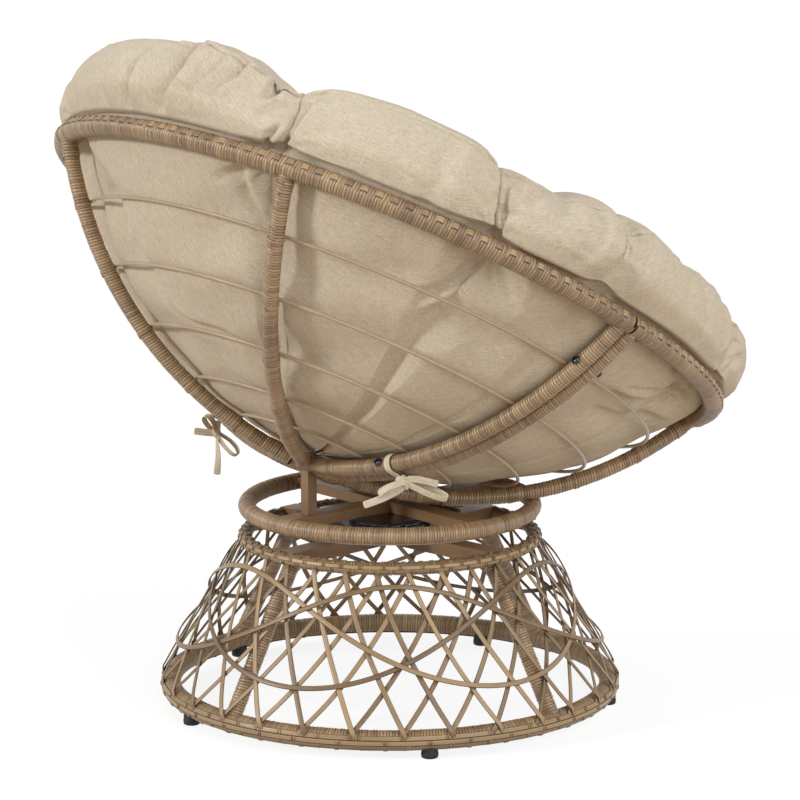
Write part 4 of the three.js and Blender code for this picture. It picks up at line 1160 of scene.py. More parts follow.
class PAPASAN_OT_rings(PapasanOperator, bpy.types.Operator):
    """Weaves the floor ring and the top ring"""
    bl_idname = "papasan.rings"
    bl_label = "Woven rings"

    def execute(self, context):
        b = base_sizes()
        c = cane_sizes()
        floor = dict(radius=b.floor_ring, tube=b.floor_tube, height=b.floor_height, tick_gap=0.058,
                     rows=[22, -7, -36, -65, -94], wave=0.0002, seed=200)
        top = dict(radius=b.top_ring, tube=b.top_tube, height=b.top_height, tick_gap=0.027,
                   rows=[-12, 22, 56, 90, 124], wave=0.0006, seed=500)
        self.ring("base_bottom_ring", floor, c.band_width)
        self.ring("base_top_ring", top, c.band_width * 0.82)
        return {"FINISHED"}

    def ring(self, node, sizes, width):
        c = cane_sizes()
        route = Arc((0, 0, sizes["height"]), (1, 0, 0), (0, 1, 0), sizes["radius"], 0, 2 * math.pi)
        cane = Cane()
        core = sizes["tube"] - c.band_thickness * 0.8
        wind(cane, route, core, c.pitch, sides=14, seed=sizes["seed"], closed=True)
        rng = np.random.default_rng(sizes["seed"])
        for row, lean in enumerate(sizes["rows"]):
            self.band(cane, route, sizes, math.radians(lean), width, rng, sizes["seed"] + row)
            self.ticks(cane, route, sizes, math.radians(lean), width, row, rng)
        cane.piece(f"{node}_weave", base_matrix(), finish("Woven ring cane"), "base", "dark_wicker", [node])

    def band(self, cane, route, sizes, lean, width, rng, seed):
        c = cane_sizes()
        count = int(route.length / 0.006)
        s = np.arange(count) * route.length / count
        points, out, side = route.at(s)
        away = math.cos(lean) * out + math.sin(lean) * side
        phases = rng.random(3) * 2 * math.pi
        turn = s / route.length * 2 * math.pi
        sway = sum(np.sin(turn * k + p) for k, p in zip((19, 31, 47), phases)) / 3
        reach = sizes["tube"] - c.band_thickness / 2 - sizes["wave"] * (1 + sway)
        points = points + away * reach[:, None]
        ribbon(cane, points, away, width, c.band_thickness, seed, closed=True)

    def ticks(self, cane, route, sizes, lean, width, row, rng):
        """Pairs of short wraps that cross one band and dive in beside it, each row staggered."""
        c = cane_sizes()
        count = int(route.length / sizes["tick_gap"])
        reach = sizes["tube"] + 0.0002
        half = width / 2 / sizes["tube"]
        for k in range(count):
            middle = (k + 0.5 * (row % 2) + rng.uniform(-0.08, 0.08)) * route.length / count
            for side in (-1, 1):
                s = middle + side * c.tick_width * 0.62
                centre, out, up = route.at(np.array([s]))
                turn = lean + np.linspace(-1, 1, 6) * half * 1.06
                away = np.cos(turn)[:, None] * out + np.sin(turn)[:, None] * up
                dive = np.array([-1.2, 0.1, 0.35, 0.35, 0.1, -1.2]) * c.band_thickness * 0.6
                points = centre + away * (reach + dive)[:, None]
                ribbon(cane, points, away, c.tick_width, c.band_thickness * 0.6,
                       seed=sizes["seed"] * 7 + row * 400 + 2 * k + side)


class PAPASAN_OT_legs(PapasanOperator, bpy.types.Operator):
    """Winds the legs and makes the feet"""
    bl_idname = "papasan.legs"
    bl_label = "Legs and feet"

    def execute(self, context):
        b = base_sizes()
        for k in range(b.leg_count):
            turn = 2 * math.pi * k / b.leg_count
            node = f"leg_{k + 1}"
            low, high = self.ends(turn)
            outward = (math.cos(turn), math.sin(turn), 0)
            cane = Cane()
            wind(cane, Line(low, high, outward), b.leg_tube, cane_sizes().pitch, sides=16, seed=61 + k)
            cane.piece(f"{node}_cane", base_matrix(), finish("Wound cane"), "base", "wicker_wrap", [node])
        for k in range(b.glide_count):
            self.foot(k)
        return {"FINISHED"}

    def ends(self, turn):
        """The leg's ends, inside the skirt's strands."""
        b = base_sizes()
        (low_radius, low_height), (high_radius, high_height) = skirt_ends()
        sag = low_radius * (1 - math.cos(b.inner_lean / 4))
        inset = (b.leg_tube + b.layer_offset + 0.001 + sag + 0.0005) / math.cos(skirt_slope())
        ends = []
        for height in (b.floor_height, b.top_height):
            along = (height - low_height) / (high_height - low_height)
            radius = low_radius + (high_radius - low_radius) * along - inset
            ends.append((radius * math.cos(turn), radius * math.sin(turn), height))
        return ends

    def foot(self, k):
        b = base_sizes()
        node = f"foot_glide_{k + 1}"
        turn = 2 * math.pi * k / b.glide_count
        top = b.glide_height + 0.005
        r = b.glide_radius
        profile = [(0.001, 0), (r - 0.0022, 0), (r - 0.0006, 0.0009), (r, 0.0028), (r, 0.0075),
                   (r - 0.0005, 0.0083), (r - 0.0005, top), (0.001, top)]
        place = base_matrix() @ Matrix.Translation(
            (b.floor_ring * math.cos(turn), b.floor_ring * math.sin(turn), 0))
        turned_piece(node, "rubber", profile, 32, finish("Foot rubber"), "base", place)


# Sizes in metres of a wave hoop: its thickness, the room that the layers leave it, and the gap round it
HOOP_THICKNESS = 0.0021
HOOP_ROOM = 0.002
HOOP_GAP = 0.0007


class PAPASAN_OT_skirt(PapasanOperator, bpy.types.Operator):
    """Weaves the skirt of flat strands and wave hoops"""
    bl_idname = "papasan.skirt"
    bl_label = "Woven skirt"

    def execute(self, context):
        b = base_sizes()
        layers = (("inner", b.inner_lean, -b.layer_offset), ("outer", b.outer_lean, b.layer_offset))
        for order, (name, lean, offset) in enumerate(layers):
            cane = Cane()
            rng = np.random.default_rng(700 + order)
            for k in range(b.strand_count):
                start = b.strand_start + 2 * math.pi * k / b.strand_count
                self.strand(cane, start, lean, offset, rng, 710 + 40 * order + k)
            node = f"skirt_{name}_strands"
            cane.piece(f"{node}_cane", base_matrix(), finish("Flat strand"), "base", "flat_strand", [node])
        for k in range(b.wave_count):
            cane = Cane()
            self.wave(cane, k)
            cane.piece(f"skirt_wave_{k + 1}_cane", base_matrix(), finish("Flat strand"), "base",
                       "flat_strand", [f"skirt_wave_{k + 1}"])
        return {"FINISHED"}

    def strand(self, cane, start, lean, offset, rng, seed):
        b = base_sizes()
        heights = np.linspace(-0.045, 1.03, 27)
        inside = np.clip(heights, 0, 1)
        bow = rng.normal(0, 0.0019) * np.sin(np.pi * inside)
        bow = bow + rng.normal(0, 0.0008) * np.sin(2 * np.pi * inside)
        foot, head = rng.normal(0, 0.0016, 2)
        turns = start + lean * heights + (foot * (1 - heights) + head * heights + bow) / b.floor_ring
        ripple = 0.00025 * np.sin(heights * math.pi * 9 + rng.random() * 6)
        tuck = (offset + 0.0042) * smoothstep(-heights, 0, 0.04)
        points = skirt_points(turns, heights, offset + ripple - tuck)
        ribbon(cane, points, skirt_out(turns), b.strand_width * rng.uniform(0.92, 1.05),
               b.strand_thickness, seed)

    def wave(self, cane, order):
        b = base_sizes()
        steps = 192
        rounds = np.arange(steps) * 2 * math.pi / steps
        valley = b.wave_start + order * 2 * math.pi / b.wave_count / b.wave_climbs
        middle = (b.wave_high + b.wave_low) / 2
        swing = (b.wave_high - b.wave_low) / 2
        passing = math.pi / b.wave_count / b.wave_climbs
        sway = (HOOP_ROOM + HOOP_GAP) / 2 / math.cos(passing) + HOOP_GAP / 2
        rest = b.layer_offset + HOOP_ROOM + HOOP_GAP + sway
        heights = middle - swing * np.cos(b.wave_climbs * rounds)
        offsets = rest - sway * np.sin(2 * b.wave_climbs * rounds)
        turns = valley + rounds
        points = skirt_points(turns, heights, offsets)
        ribbon(cane, points, skirt_out(turns), b.strand_width, HOOP_THICKNESS, seed=900 + order,
               closed=True)


class PAPASAN_OT_bolts(PapasanOperator, bpy.types.Operator):
    """Makes the seam bolts and nuts and the two seat bolts"""
    bl_idname = "papasan.bolts"
    bl_label = "Bolts"

    def execute(self, context):
        b = bowl_sizes()
        face = seam_offset() + b.seam_tube + 0.0001
        order = 0
        for polar_share in BOLT_POLAR_SHARES:
            for side in (1, -1):
                order += 1
                place = bowl_matrix() @ seam_place(side * polar_share * rim_polar())
                head = place @ Matrix.Rotation(-math.pi / 2, 4, "X") @ Matrix.Translation((0, 0, face))
                nut = place @ Matrix.Rotation(math.pi / 2, 4, "X") @ Matrix.Translation((0, 0, face))
                self.head(f"seam_bolt_{order}", head)
                self.nut(f"seam_nut_{order}", nut)
        for side in ("right", "left"):
            node = f"seat_bolt_{side}"
            low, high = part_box(node)
            middle = (low + high) / 2
            place = Matrix.Translation((middle.x, middle.y, low.z + b.bolt_height)) @ Matrix.Rotation(
                math.pi, 4, "X")
            self.head(node, place, shank=high.z - low.z - b.bolt_height)
        return {"FINISHED"}

    def head(self, node, place, shank=0.0):
        """A black button head with a washer and a round socket."""
        b = bowl_sizes()
        r, h = b.bolt_head, b.bolt_height
        dome = [(0.003, -0.0004 - shank), (0.003, 0.0), (r, 0.0), (r, 0.0007), (r * 0.985, 0.0011),
                (r * 0.93, h * 0.5), (r * 0.8, h * 0.78), (r * 0.62, h * 0.93), (r * 0.46, h)]
        socket = [(r * 0.42, h * 0.96), (r * 0.42, h * 0.4), (0.0002, h * 0.36)]
        turned_piece(node, "head", dome + socket, 36, finish("Black steel"), "seat", place)

    def nut(self, node, place):
        b = bowl_sizes()
        r, h = b.nut_radius, b.nut_height
        hexagon = [(r * 0.9, 0), (r, 0.0004), (r, h * 0.62), (r * 0.88, h * 0.68), (r * 0.8, h * 0.7),
                   (r * 0.78, h * 0.96), (r * 0.6, h), (0.0032, h), (0.003, h * 0.7)]
        turned_piece(node, "hex", hexagon, 6, finish("Black steel"), "seat", place)


def seam_place(polar):
    """A place on the seam, with Z pointing out of the bowl and Y square to the seam's plane."""
    out = Vector((-math.sin(polar), 0, -math.cos(polar)))
    square = Vector((0, 1, 0))
    along = square.cross(out)
    point = out * sphere_radius() + Vector((0, 0, sphere_height()))
    return Matrix((
        (along.x, square.x, out.x, point.x),
        (along.y, square.y, out.y, point.y),
        (along.z, square.z, out.z, point.z),
        (0, 0, 0, 1),
    ))


# The cushion's outline, creases and tufts, in the rim's own frame
def through(points, count):
    """Evenly spaced points on a smooth curve through the given ones."""
    points = np.asarray(points, float)
    ends = np.vstack([2 * points[0] - points[1], points, 2 * points[-1] - points[-2]])
    fine = []
    for k in range(1, len(ends) - 2):
        a, b, c, d = ends[k - 1:k + 3]
        t = np.linspace(0, 1, 24, endpoint=False)[:, None]
        fine.append(0.5 * (2 * b + (c - a) * t + (2 * a - 5 * b + 4 * c - d) * t ** 2
                           + (3 * b - a - 3 * c + d) * t ** 3))
    fine = np.vstack([*fine, points[-1:]])
    along = travelled(fine)
    wanted = np.linspace(0, along[-1], count + 1)
    return np.stack([np.interp(wanted, along, fine[:, k]) for k in range(points.shape[1])], -1)


def shell_radius():
    b = bowl_sizes()
    return rod_sphere_radius() - b.rod_radius - ROD_CLEARANCE


def cushion_outline(shell_rings, lip_rings, at_seam):
    """Points of the outline as radius and height, and each one's way: -1, then 0 at the rim, then 1."""
    b = bowl_sizes()
    c = cushion_sizes()
    shares = 1 - (1 - np.linspace(0, 1, shell_rings + 1)) ** 1.3
    polar = c.shell_share * rim_polar() * shares
    radius = shell_radius() - CASE_INSET
    shell = np.stack([radius * np.sin(polar), sphere_height() - radius * np.cos(polar)], -1)
    reach = b.rim_tube + c.overhang
    floor = sphere_height() - radius + c.thickness
    lip = [(b.rim_radius + out * reach, up * c.lip_height) for out, up in LIP_SHARES]
    dish = [(out * b.rim_radius, floor + (c.lip_height - floor) * up) for out, up in DISH_SHARES]
    edge = through([shell[-1], *lip, *dish], 600)
    fine = np.linspace(0, 1, 601)
    density = 1 + at_seam * np.exp(-((fine - c.seam_way) / 0.012) ** 2) + 1.4 * (fine < 0.3)
    rings = np.concatenate([[0], np.cumsum((density[1:] + density[:-1]) / 2)])
    way = np.interp(np.linspace(0, rings[-1], lip_rings + 1), rings, fine)
    edge = np.stack([np.interp(way, fine, edge[:, k]) for k in range(2)], -1)
    return np.vstack([shell, edge[1:]]), np.concatenate([shares - 1, way[1:]])


def rim_rest(ways):
    """How nearly the cloth rests on the rim's tube, at some ways round the outline."""
    return np.exp(-((ways - REST_WAY) / REST_SPREAD) ** 2)


def column_azimuths(columns, crowding):
    """Azimuths of the mesh's columns, closer together at each crease."""
    steps = np.arange(columns) / columns
    crowded = steps - crowding * np.sin(2 * math.pi * steps) / (2 * math.pi)
    starts = [crease[0] for crease in CREASES]
    ends = starts[1:] + [starts[0] + 360]
    return np.radians(np.concatenate([start + (end - start) * crowded for start, end in zip(starts, ends)]))


def crease_turns(azimuths, degrees):
    return (azimuths - math.radians(degrees) + math.pi) % (2 * math.pi) - math.pi


def crease_draw(azimuths):
    """How far the creases draw each column in, and how near a crease is, from 0 to 1."""
    b = bowl_sizes()
    c = cushion_sizes()
    draw = np.zeros(len(azimuths))
    near = np.zeros(len(azimuths))
    for order, (degrees, slit, valley) in enumerate(CREASES):
        along = crease_turns(azimuths, degrees) * b.rim_radius
        away = np.abs(along)
        width = np.where((along < 0) & (order == 1), 1.4, 1) * c.valley_width
        depth = np.where((along < 0) & (order == 1), 1.7, 1) * c.valley_share * valley
        draw += slit * c.slit_share * np.exp(-away / c.slit_width)
        draw += depth * np.exp(-(away / width) ** 2)
        near = np.maximum(near, max(slit, valley) * np.exp(-(away / 0.024) ** 2))
    return draw, near


def crease_wander(ways, azimuths):
    """How far the bent creases turn each point of the grid, by its ring and its column."""
    wander = np.zeros((len(ways), len(azimuths)))
    for order, bend in BENDS.items():
        turn = crease_turns(azimuths, CREASES[order][0])
        close = np.clip(1 - (turn / math.radians(BEND_REACH)) ** 2, 0, 1) ** 2
        places, degrees = zip(*bend)
        wander += np.radians(np.interp(ways, places, degrees))[:, None] * close[None, :]
    return wander


def lobe_swell(azimuths):
    """How much bigger than the plain outline each column is."""
    places, swells = zip(*SWELLS)
    return np.interp(np.degrees(azimuths), places, swells, period=360)


def tuft_places():
    """Sewn tufts as flat places."""
    b = bowl_sizes()
    c = cushion_sizes()
    places = [(0.0, 0.0)]
    for order, crease in enumerate(CREASES):
        turn = math.radians(crease[0])
        places.append((compass(turn) * c.outer_tufts * b.rim_radius)[:2])
        if order % 2 == 0:
            places.append((compass(turn + math.pi / len(CREASES)) * c.inner_tufts * b.rim_radius)[:2])
    return places


def curve_fit(values, places, wanted):
    """Values along the first axis, read from a smooth curve at other places."""
    slopes = np.gradient(values, places, axis=0)
    low = np.clip(np.searchsorted(places, wanted, side="right") - 1, 0, len(places) - 2)
    width = (places[low + 1] - places[low])[:, None, None]
    t = ((wanted - places[low]) / (places[low + 1] - places[low]))[:, None, None]
    return ((2 * t ** 3 - 3 * t ** 2 + 1) * values[low] + (t ** 3 - 2 * t ** 2 + t) * width * slopes[low]
            + (3 * t ** 2 - 2 * t ** 3) * values[low + 1] + (t ** 3 - t ** 2) * width * slopes[low + 1])


def ripples(points, wavelength, seed):
    """Smooth chance swells between -1 and 1, of about a given wavelength."""
    rng = np.random.default_rng(seed)
    total = np.zeros(len(points))
    for k in range(9):
        direction = unit(rng.normal(size=3)) * 2 * math.pi / (wavelength * rng.uniform(0.7, 1.5))
        total += np.sin(points @ direction + rng.uniform(0, 2 * math.pi))
    return total / 4.5


class PAPASAN_OT_cushion(PapasanOperator, bpy.types.Operator):
    """Sews, stuffs and tufts the round cushion"""
    bl_idname = "papasan.cushion"
    bl_label = "Cushion"

    def execute(self, context):
        c = cushion_sizes()
        self.set_grid(c.shell_rings, c.lip_rings, 0, c.columns, 0.85)
        points, sewn = self.case()
        points = self.stuffed(context, points, sewn)
        points = self.refined(points, (c.fine_shell_rings, c.fine_lip_rings, 3, c.fine_columns, 0.6))
        mesh = bpy.data.meshes.new("cushion_linen")
        mesh.from_pydata(points.tolist(), [], self.faces())
        points = self.clear_of_frame(points)
        points = self.seamed(mesh, points)
        points = self.folded(mesh, points)
        points = self.clear_of_frame(points)
        mesh.vertices.foreach_set("co", points.astype(np.float32).ravel())
        mesh.transform(bowl_matrix())
        write(mesh, "cloth", "FLOAT_VECTOR", self.cloth())
        mesh.update()
        obj = place_piece("cushion_linen", mesh, finish("Linen"), "seat", ["cushion"])
        return {"FINISHED"}

    def set_grid(self, shell_rings, lip_rings, at_seam, columns, crowding):
        self.outline, self.ways = cushion_outline(shell_rings, lip_rings, at_seam)
        self.azimuths = column_azimuths(columns, crowding)
        self.columns = columns
        self.rings = len(self.outline)

    def per_point(self, of_ring, of_column):
        """Values of each point, from a value for its ring and one for its column."""
        rings = np.repeat(np.asarray(of_ring)[1:-1], len(self.azimuths))
        columns = np.tile(np.asarray(of_column), self.rings - 2)
        first, last = of_ring[0], of_ring[-1]
        return (np.concatenate([[first], rings, [last]]),
                np.concatenate([[of_column[0]], columns, [of_column[0]]]))

    def on_crease(self):
        """True for the points on the line of a crease that has a slit."""
        slits = np.repeat([crease[1] > 0.3 for crease in CREASES], self.columns)
        columns = (np.arange(len(self.azimuths)) % self.columns == 0) & slits
        return self.per_point(self.ways, columns.astype(float))[1] > 0.5

    def refined(self, points, sizes):
        """The same surface on a finer grid, which becomes the cushion's own."""
        old_ways, old_azimuths = self.ways, self.azimuths
        poles = points[0], points[-1]
        grid = points[1:-1].reshape(self.rings - 2, len(old_azimuths), 3)
        grid = np.concatenate([np.broadcast_to(poles[0], grid[:1].shape), grid,
                               np.broadcast_to(poles[1], grid[:1].shape)])
        self.set_grid(*sizes)
        grid = curve_fit(grid, old_ways, self.ways)
        wrapped = np.concatenate([grid[:, -3:], grid, grid[:, :3]], axis=1)
        turn = 2 * math.pi
        places = np.concatenate([old_azimuths[-3:] - turn, old_azimuths, old_azimuths[:3] + turn])
        grid = curve_fit(wrapped.transpose(1, 0, 2), places, self.azimuths).transpose(1, 0, 2)
        return np.concatenate([poles[0][None], grid[1:-1].reshape(-1, 3), poles[1][None]])

    def case(self):
        """The unstuffed case: its points, and which of them are sewn down."""
        b = bowl_sizes()
        c = cushion_sizes()
        ways = self.ways
        pull_of_ring = np.where(ways < 0, 0.5 * smoothstep(ways, -0.2, 0),
                                0.5 + 0.5 * smoothstep(ways, 0.08, 0.15) - smoothstep(ways, 0.42, 0.72))
        tangent = unit(np.gradient(self.outline, axis=0))
        inward = np.stack([-tangent[:, 1], tangent[:, 0]], -1)
        outline = self.outline + inward * (c.slack * (1 - 0.85 * rim_rest(ways)))[:, None]
        draw = crease_draw(self.azimuths)[0]
        way, azimuth = self.per_point(ways, self.azimuths)
        azimuth[1:-1] += crease_wander(ways[1:-1], self.azimuths).ravel()
        pull, draw = self.per_point(np.clip(pull_of_ring, 0, 1), draw)
        radius, swell = self.per_point(outline[:, 0], lobe_swell(self.azimuths))
        height = self.per_point(outline[:, 1], self.azimuths)[0]
        reach = b.rim_tube + c.overhang
        flat = np.stack([radius, height], -1)
        core = np.array([b.rim_radius - reach, c.lip_height / 2])
        on_lip = smoothstep(way, 0.085, 0.165) * (1 - smoothstep(way, 0.35, 0.6))
        flat = flat + (core - flat) * (pull * draw - swell * on_lip)[:, None]
        x = -flat[:, 0] * np.sin(azimuth)
        y = flat[:, 0] * np.cos(azimuth)
        z = flat[:, 1]
        on_seat = smoothstep(way, 0.3, 0.45)
        sewn = (self.on_crease() & (pull > 0.3) & (way > 0.01)).astype(float)
        for tuft_x, tuft_y in tuft_places():
            away = np.hypot(x - tuft_x, y - tuft_y)
            z = z - on_seat * c.tuft_depth * np.exp(-(away / c.tuft_spread) ** 2)
            sewn = np.maximum(sewn, (away < 0.009) & (on_seat > 0.5))
        return np.stack([x, y, z], -1), sewn

    def cloth(self):
        """Each point's place on the flat cloth, with the threads along the way that they run."""
        c = cushion_sizes()
        along = travelled(self.outline)
        below = self.ways <= c.seam_way
        run = np.where(below, along, along[-1] - along)
        run, azimuth = self.per_point(run, self.azimuths)
        panel = self.per_point(np.where(below, 0.0, 3.0), self.azimuths)[0]
        lean = azimuth - math.pi / 4
        return np.stack([run * np.sin(lean), run * np.cos(lean), panel], -1)

    def faces(self):
        faces = []
        columns = len(self.azimuths)
        last = 1 + (self.rings - 2) * columns
        top = 1 + (self.rings - 3) * columns
        for k in range(columns):
            nxt = (k + 1) % columns
            faces.append((0, 1 + nxt, 1 + k))
            for ring in range(self.rings - 3):
                low = 1 + ring * columns
                high = low + columns
                faces.append((low + k, low + nxt, high + nxt, high + k))
            faces.append((top + k, top + nxt, last))
        return faces

    def stuffed(self, context, points, sewn):
        """Blows the case up as cloth with its sewn points held, and caps how far any point moves."""
        c = cushion_sizes()
        scene = context.scene
        mesh = bpy.data.meshes.new("cushion_case")
        mesh.from_pydata(points.tolist(), [], self.faces())
        obj = bpy.data.objects.new("cushion_case", mesh)
        scene.collection.objects.link(obj)
        held = obj.vertex_groups.new(name="sewn")
        held.add([int(k) for k in np.nonzero(sewn > 0.5)[0]], 1.0, "REPLACE")
        stuffing = obj.modifiers.new("Stuffing", "CLOTH")
        cloth = stuffing.settings
        cloth.quality = 5
        cloth.mass = 0.3
        cloth.tension_stiffness = 14
        cloth.compression_stiffness = 14
        cloth.shear_stiffness = 4
        cloth.bending_stiffness = 0.1
        cloth.use_pressure = True
        cloth.uniform_pressure_force = c.pressure
        cloth.shrink_min = -0.06
        cloth.vertex_group_mass = "sewn"
        cloth.effector_weights.gravity = 0
        stuffing.point_cache.frame_start = 1
        stuffing.point_cache.frame_end = STUFFING_FRAMES
        for step in range(1, STUFFING_FRAMES + 1):
            scene.frame_set(step)
        graph = context.evaluated_depsgraph_get()
        blown = np.zeros(len(points) * 3, np.float32)
        obj.evaluated_get(graph).data.vertices.foreach_get("co", blown)
        scene.frame_set(1)
        bpy.data.objects.remove(obj)
        bpy.data.meshes.remove(mesh)
        moved = blown.reshape(-1, 3).astype(float) - points
        near = self.per_point(self.ways, crease_draw(self.azimuths)[1])[1]
        at_rim = self.per_point(rim_rest(self.ways), self.azimuths)[0]
        cap = c.cap * (1 - 0.75 * near) * (1 - 0.8 * at_rim)
        far = np.linalg.norm(moved, axis=1)
        moved = moved * np.minimum(1, cap / np.maximum(far, 1e-9))[:, None]
        return points + self.calmed(moved)

    def calmed(self, moved):
        """The same moves, evened out between neighbours on the underside."""
        grid = moved[1:-1].reshape(self.rings - 2, len(self.azimuths), 3)
        share = 1 - smoothstep(self.ways[1:-1], -0.12, -0.01)[:, None, None]
        for step in range(12):
            around = (np.roll(grid, 1, 1) + np.roll(grid, -1, 1)) / 4 + grid / 2
            even = around.copy()
            even[1:-1] = around[1:-1] / 2 + (around[2:] + around[:-2]) / 4
            grid = grid + (even - grid) * share
        return np.concatenate([moved[:1], grid.reshape(-1, 3), moved[-1:]])

    def normals(self, mesh, points):
        mesh.vertices.foreach_set("co", points.astype(np.float32).ravel())
        mesh.update()
        normals = np.zeros(len(points) * 3, np.float32)
        mesh.vertex_normals.foreach_get("vector", normals)
        return normals.reshape(-1, 3).astype(float)

    def seamed(self, mesh, points):
        """Draws the seam in round the edge, with the cloth standing up on both sides of it."""
        c = cushion_sizes()
        normals = self.normals(mesh, points)
        way = self.per_point(self.ways, self.azimuths)[0]
        away = np.abs(way - c.seam_way)
        thread = np.exp(-(away / 0.0028) ** 2)
        beside = np.exp(-((away - 0.009) / 0.005) ** 2)
        return points - normals * (c.seam_depth * (thread - 0.4 * beside))[:, None]

    def folded(self, mesh, points):
        """Presses in the dents and the folds that the cloth keeps."""
        normals = self.normals(mesh, points)
        way = self.per_point(self.ways, self.azimuths)[0]
        below = way < 0.02
        loose = 0.003 * (1 + ripples(points, 0.11, 5)) * smoothstep(-way, 0, 0.1) * below
        press = loose
        for width, depth, degrees, place in DENTS:
            middle = self.place(points, math.radians(degrees), place)
            away = np.linalg.norm(points - middle, axis=1) / (width / 1000)
            press = press + depth / 1000 * np.exp(-away ** 2) * below
        points = points - normals * press[:, None]
        normals = self.normals(mesh, points)
        total = np.zeros(len(points))
        for folds, sharp in ((FOLDS, False), (SWAGS, True)):
            for width, depth, route in folds:
                line = through([self.place(points, math.radians(d), w) for d, w in route], 20)
                total += self.fold(points, normals, line, width / 1000, depth / 1000, sharp)
        return points + normals * total[:, None]

    def place(self, points, azimuth, way):
        """The point of the cushion at an azimuth and a way."""
        columns = len(self.azimuths)
        ring = np.clip(np.interp(way, self.ways, np.arange(self.rings)), 1, self.rings - 3)
        r = int(ring)
        found = []
        for row in (r, r + 1):
            loop = points[1 + (row - 1) * columns:1 + row * columns]
            turned = np.unwrap(np.arctan2(-loop[:, 0], loop[:, 1]))
            wanted = (azimuth - turned[0]) % (2 * math.pi) + turned[0]
            turned = np.append(turned, turned[0] + 2 * math.pi)
            loop = np.vstack([loop, loop[:1]])
            found.append(np.array([np.interp(wanted, turned, loop[:, k]) for k in range(3)]))
        return found[0] * (1 - ring + r) + found[1] * (ring - r)

    def fold(self, points, normals, line, width, depth, sharp):
        """How far one fold or swag moves each point: a valley on or beside a line, with a soft ridge."""
        moved = np.zeros(len(points))
        low = line.min(0) - 6 * width
        high = line.max(0) + 6 * width
        near = np.nonzero(np.all((points > low) & (points < high), axis=1))[0]
        p = points[near]
        start, step = line[:-1], np.diff(line, axis=0)
        share = np.einsum("nsk,sk->ns", p[:, None] - start[None], step) / np.sum(step ** 2, axis=1)
        share = np.clip(share, 0, 1)
        offset = p[:, None] - start[None] - share[..., None] * step[None]
        away = np.linalg.norm(offset, axis=2)
        best = np.argmin(away, axis=1)
        rows = np.arange(len(near))
        square = np.cross(normals[near], unit(step)[best])
        t = np.einsum("nk,nk->n", offset[rows, best], square) / width
        beyond = away[rows, best] / width
        run = (best + share[rows, best]) / len(step)
        taper = np.clip(4 * run * (1 - run), 0, 1) ** 0.6
        past_end = np.sqrt(np.maximum(beyond ** 2 - t ** 2, 0))
        if sharp:
            drop, rise = np.maximum(t, 0), np.maximum(-t, 0)
            profile = 0.4 * rise * np.exp(1 - rise) - drop * np.exp(1 - drop)
            profile += 0.2 * np.exp(-(t / 0.8) ** 2)
        else:
            profile = -np.exp(-t ** 2) + 0.45 * np.exp(-(t - 1.5) ** 2) + 0.2 * np.exp(-(t + 1.7) ** 2)
        moved[near] = depth * taper * profile * np.exp(-past_end ** 2)
        return moved

    def clear_of_frame(self, points):
        """Keeps the cloth inside the rods and off the rim."""
        b = bowl_sizes()
        centre = np.array([0, 0, sphere_height()])
        away = points - centre
        radius = np.linalg.norm(away, axis=1)
        polar = np.arccos(np.clip(-away[:, 2] / radius, -1, 1))
        rods = np.array(ROD_POLAR_SHARES) * rim_polar()
        nearest = np.min(np.abs(polar[:, None] - rods[None, :]), axis=1) * sphere_radius()
        allowed = shell_radius() + ROD_BULGE * (1 - np.exp(-(nearest / ROD_REACH) ** 2))
        allowed += RIM_BULGE * smoothstep(polar / rim_polar(), 0.9, 0.97)
        over = self.per_point(self.ways, self.azimuths)[0] > INSIDE_WAY
        scale = np.where((radius > allowed) & ~over, allowed / radius, 1)
        points = centre + away * scale[:, None]
        flat = np.hypot(points[:, 0], points[:, 1])
        past = flat - b.rim_radius
        wanted = b.rim_tube + RIM_CLEARANCE
        crown = wanted - LIP_FALL * past
        points[:, 2] = np.where(over & (past > 0), np.maximum(points[:, 2], crown), points[:, 2])
        from_rim = np.stack([past, points[:, 2]], -1)
        distance = np.linalg.norm(from_rim, axis=1)
        close = distance < wanted
        grown = from_rim * (wanted / np.maximum(distance, 1e-9))[:, None]
        new_flat = np.where(close, b.rim_radius + grown[:, 0], flat)
        points[:, 2] = np.where(close, grown[:, 1], points[:, 2])
        scale = new_flat / np.maximum(flat, 1e-9)
        points[:, 0] *= scale
        points[:, 1] *= scale
        return points


# A loop of a bow: shares of its length and of its opening
LOOP_SHARES = [(0, 0.08), (0.22, 0.3), (0.55, 0.5), (0.86, 0.42), (1, 0.02), (0.88, -0.4), (0.56, -0.48),
               (0.24, -0.28), (0, -0.08)]

# The bows, in millimetres right, up and toward the one who looks at them. A knot has its place under the
# strap, half its length, its radius and its lean. A loop has its direction, length, opening and roll, where
# a roll of 90 degrees shows its flat side. A tail has its points, and the roll at its start and its end.
BOWS = {
    "right": {
        "knot": ((11.5, -6, 1), 11.5, 5.2, -74),
        "loops": [(206, 39, 17, 52), (-20, 62, 14, 64)],
        "tails": [([(-2, -6, 0), (-16, -15, 3), (-36, -24, 4), (-57, -32, 3)], 66, 86),
                  ([(3, 4, 1), (20, 4.5, 5), (46, -2, 5)], 80, 88)],
    },
    "left": {
        "knot": ((-1, -18, 2), 8, 6, -60),
        "loops": [(121, 32, 15, 40), (-45, 43, 15, 44)],
        "tails": [([(-2, 0, 0), (-14, 1.5, 2), (-33, 4, 3)], 76, 86),
                  ([(0, -4, 0), (1, -20, 1), (1.5, -36, 1), (-0.5, -62, 0)], 20, 86)],
    },
}


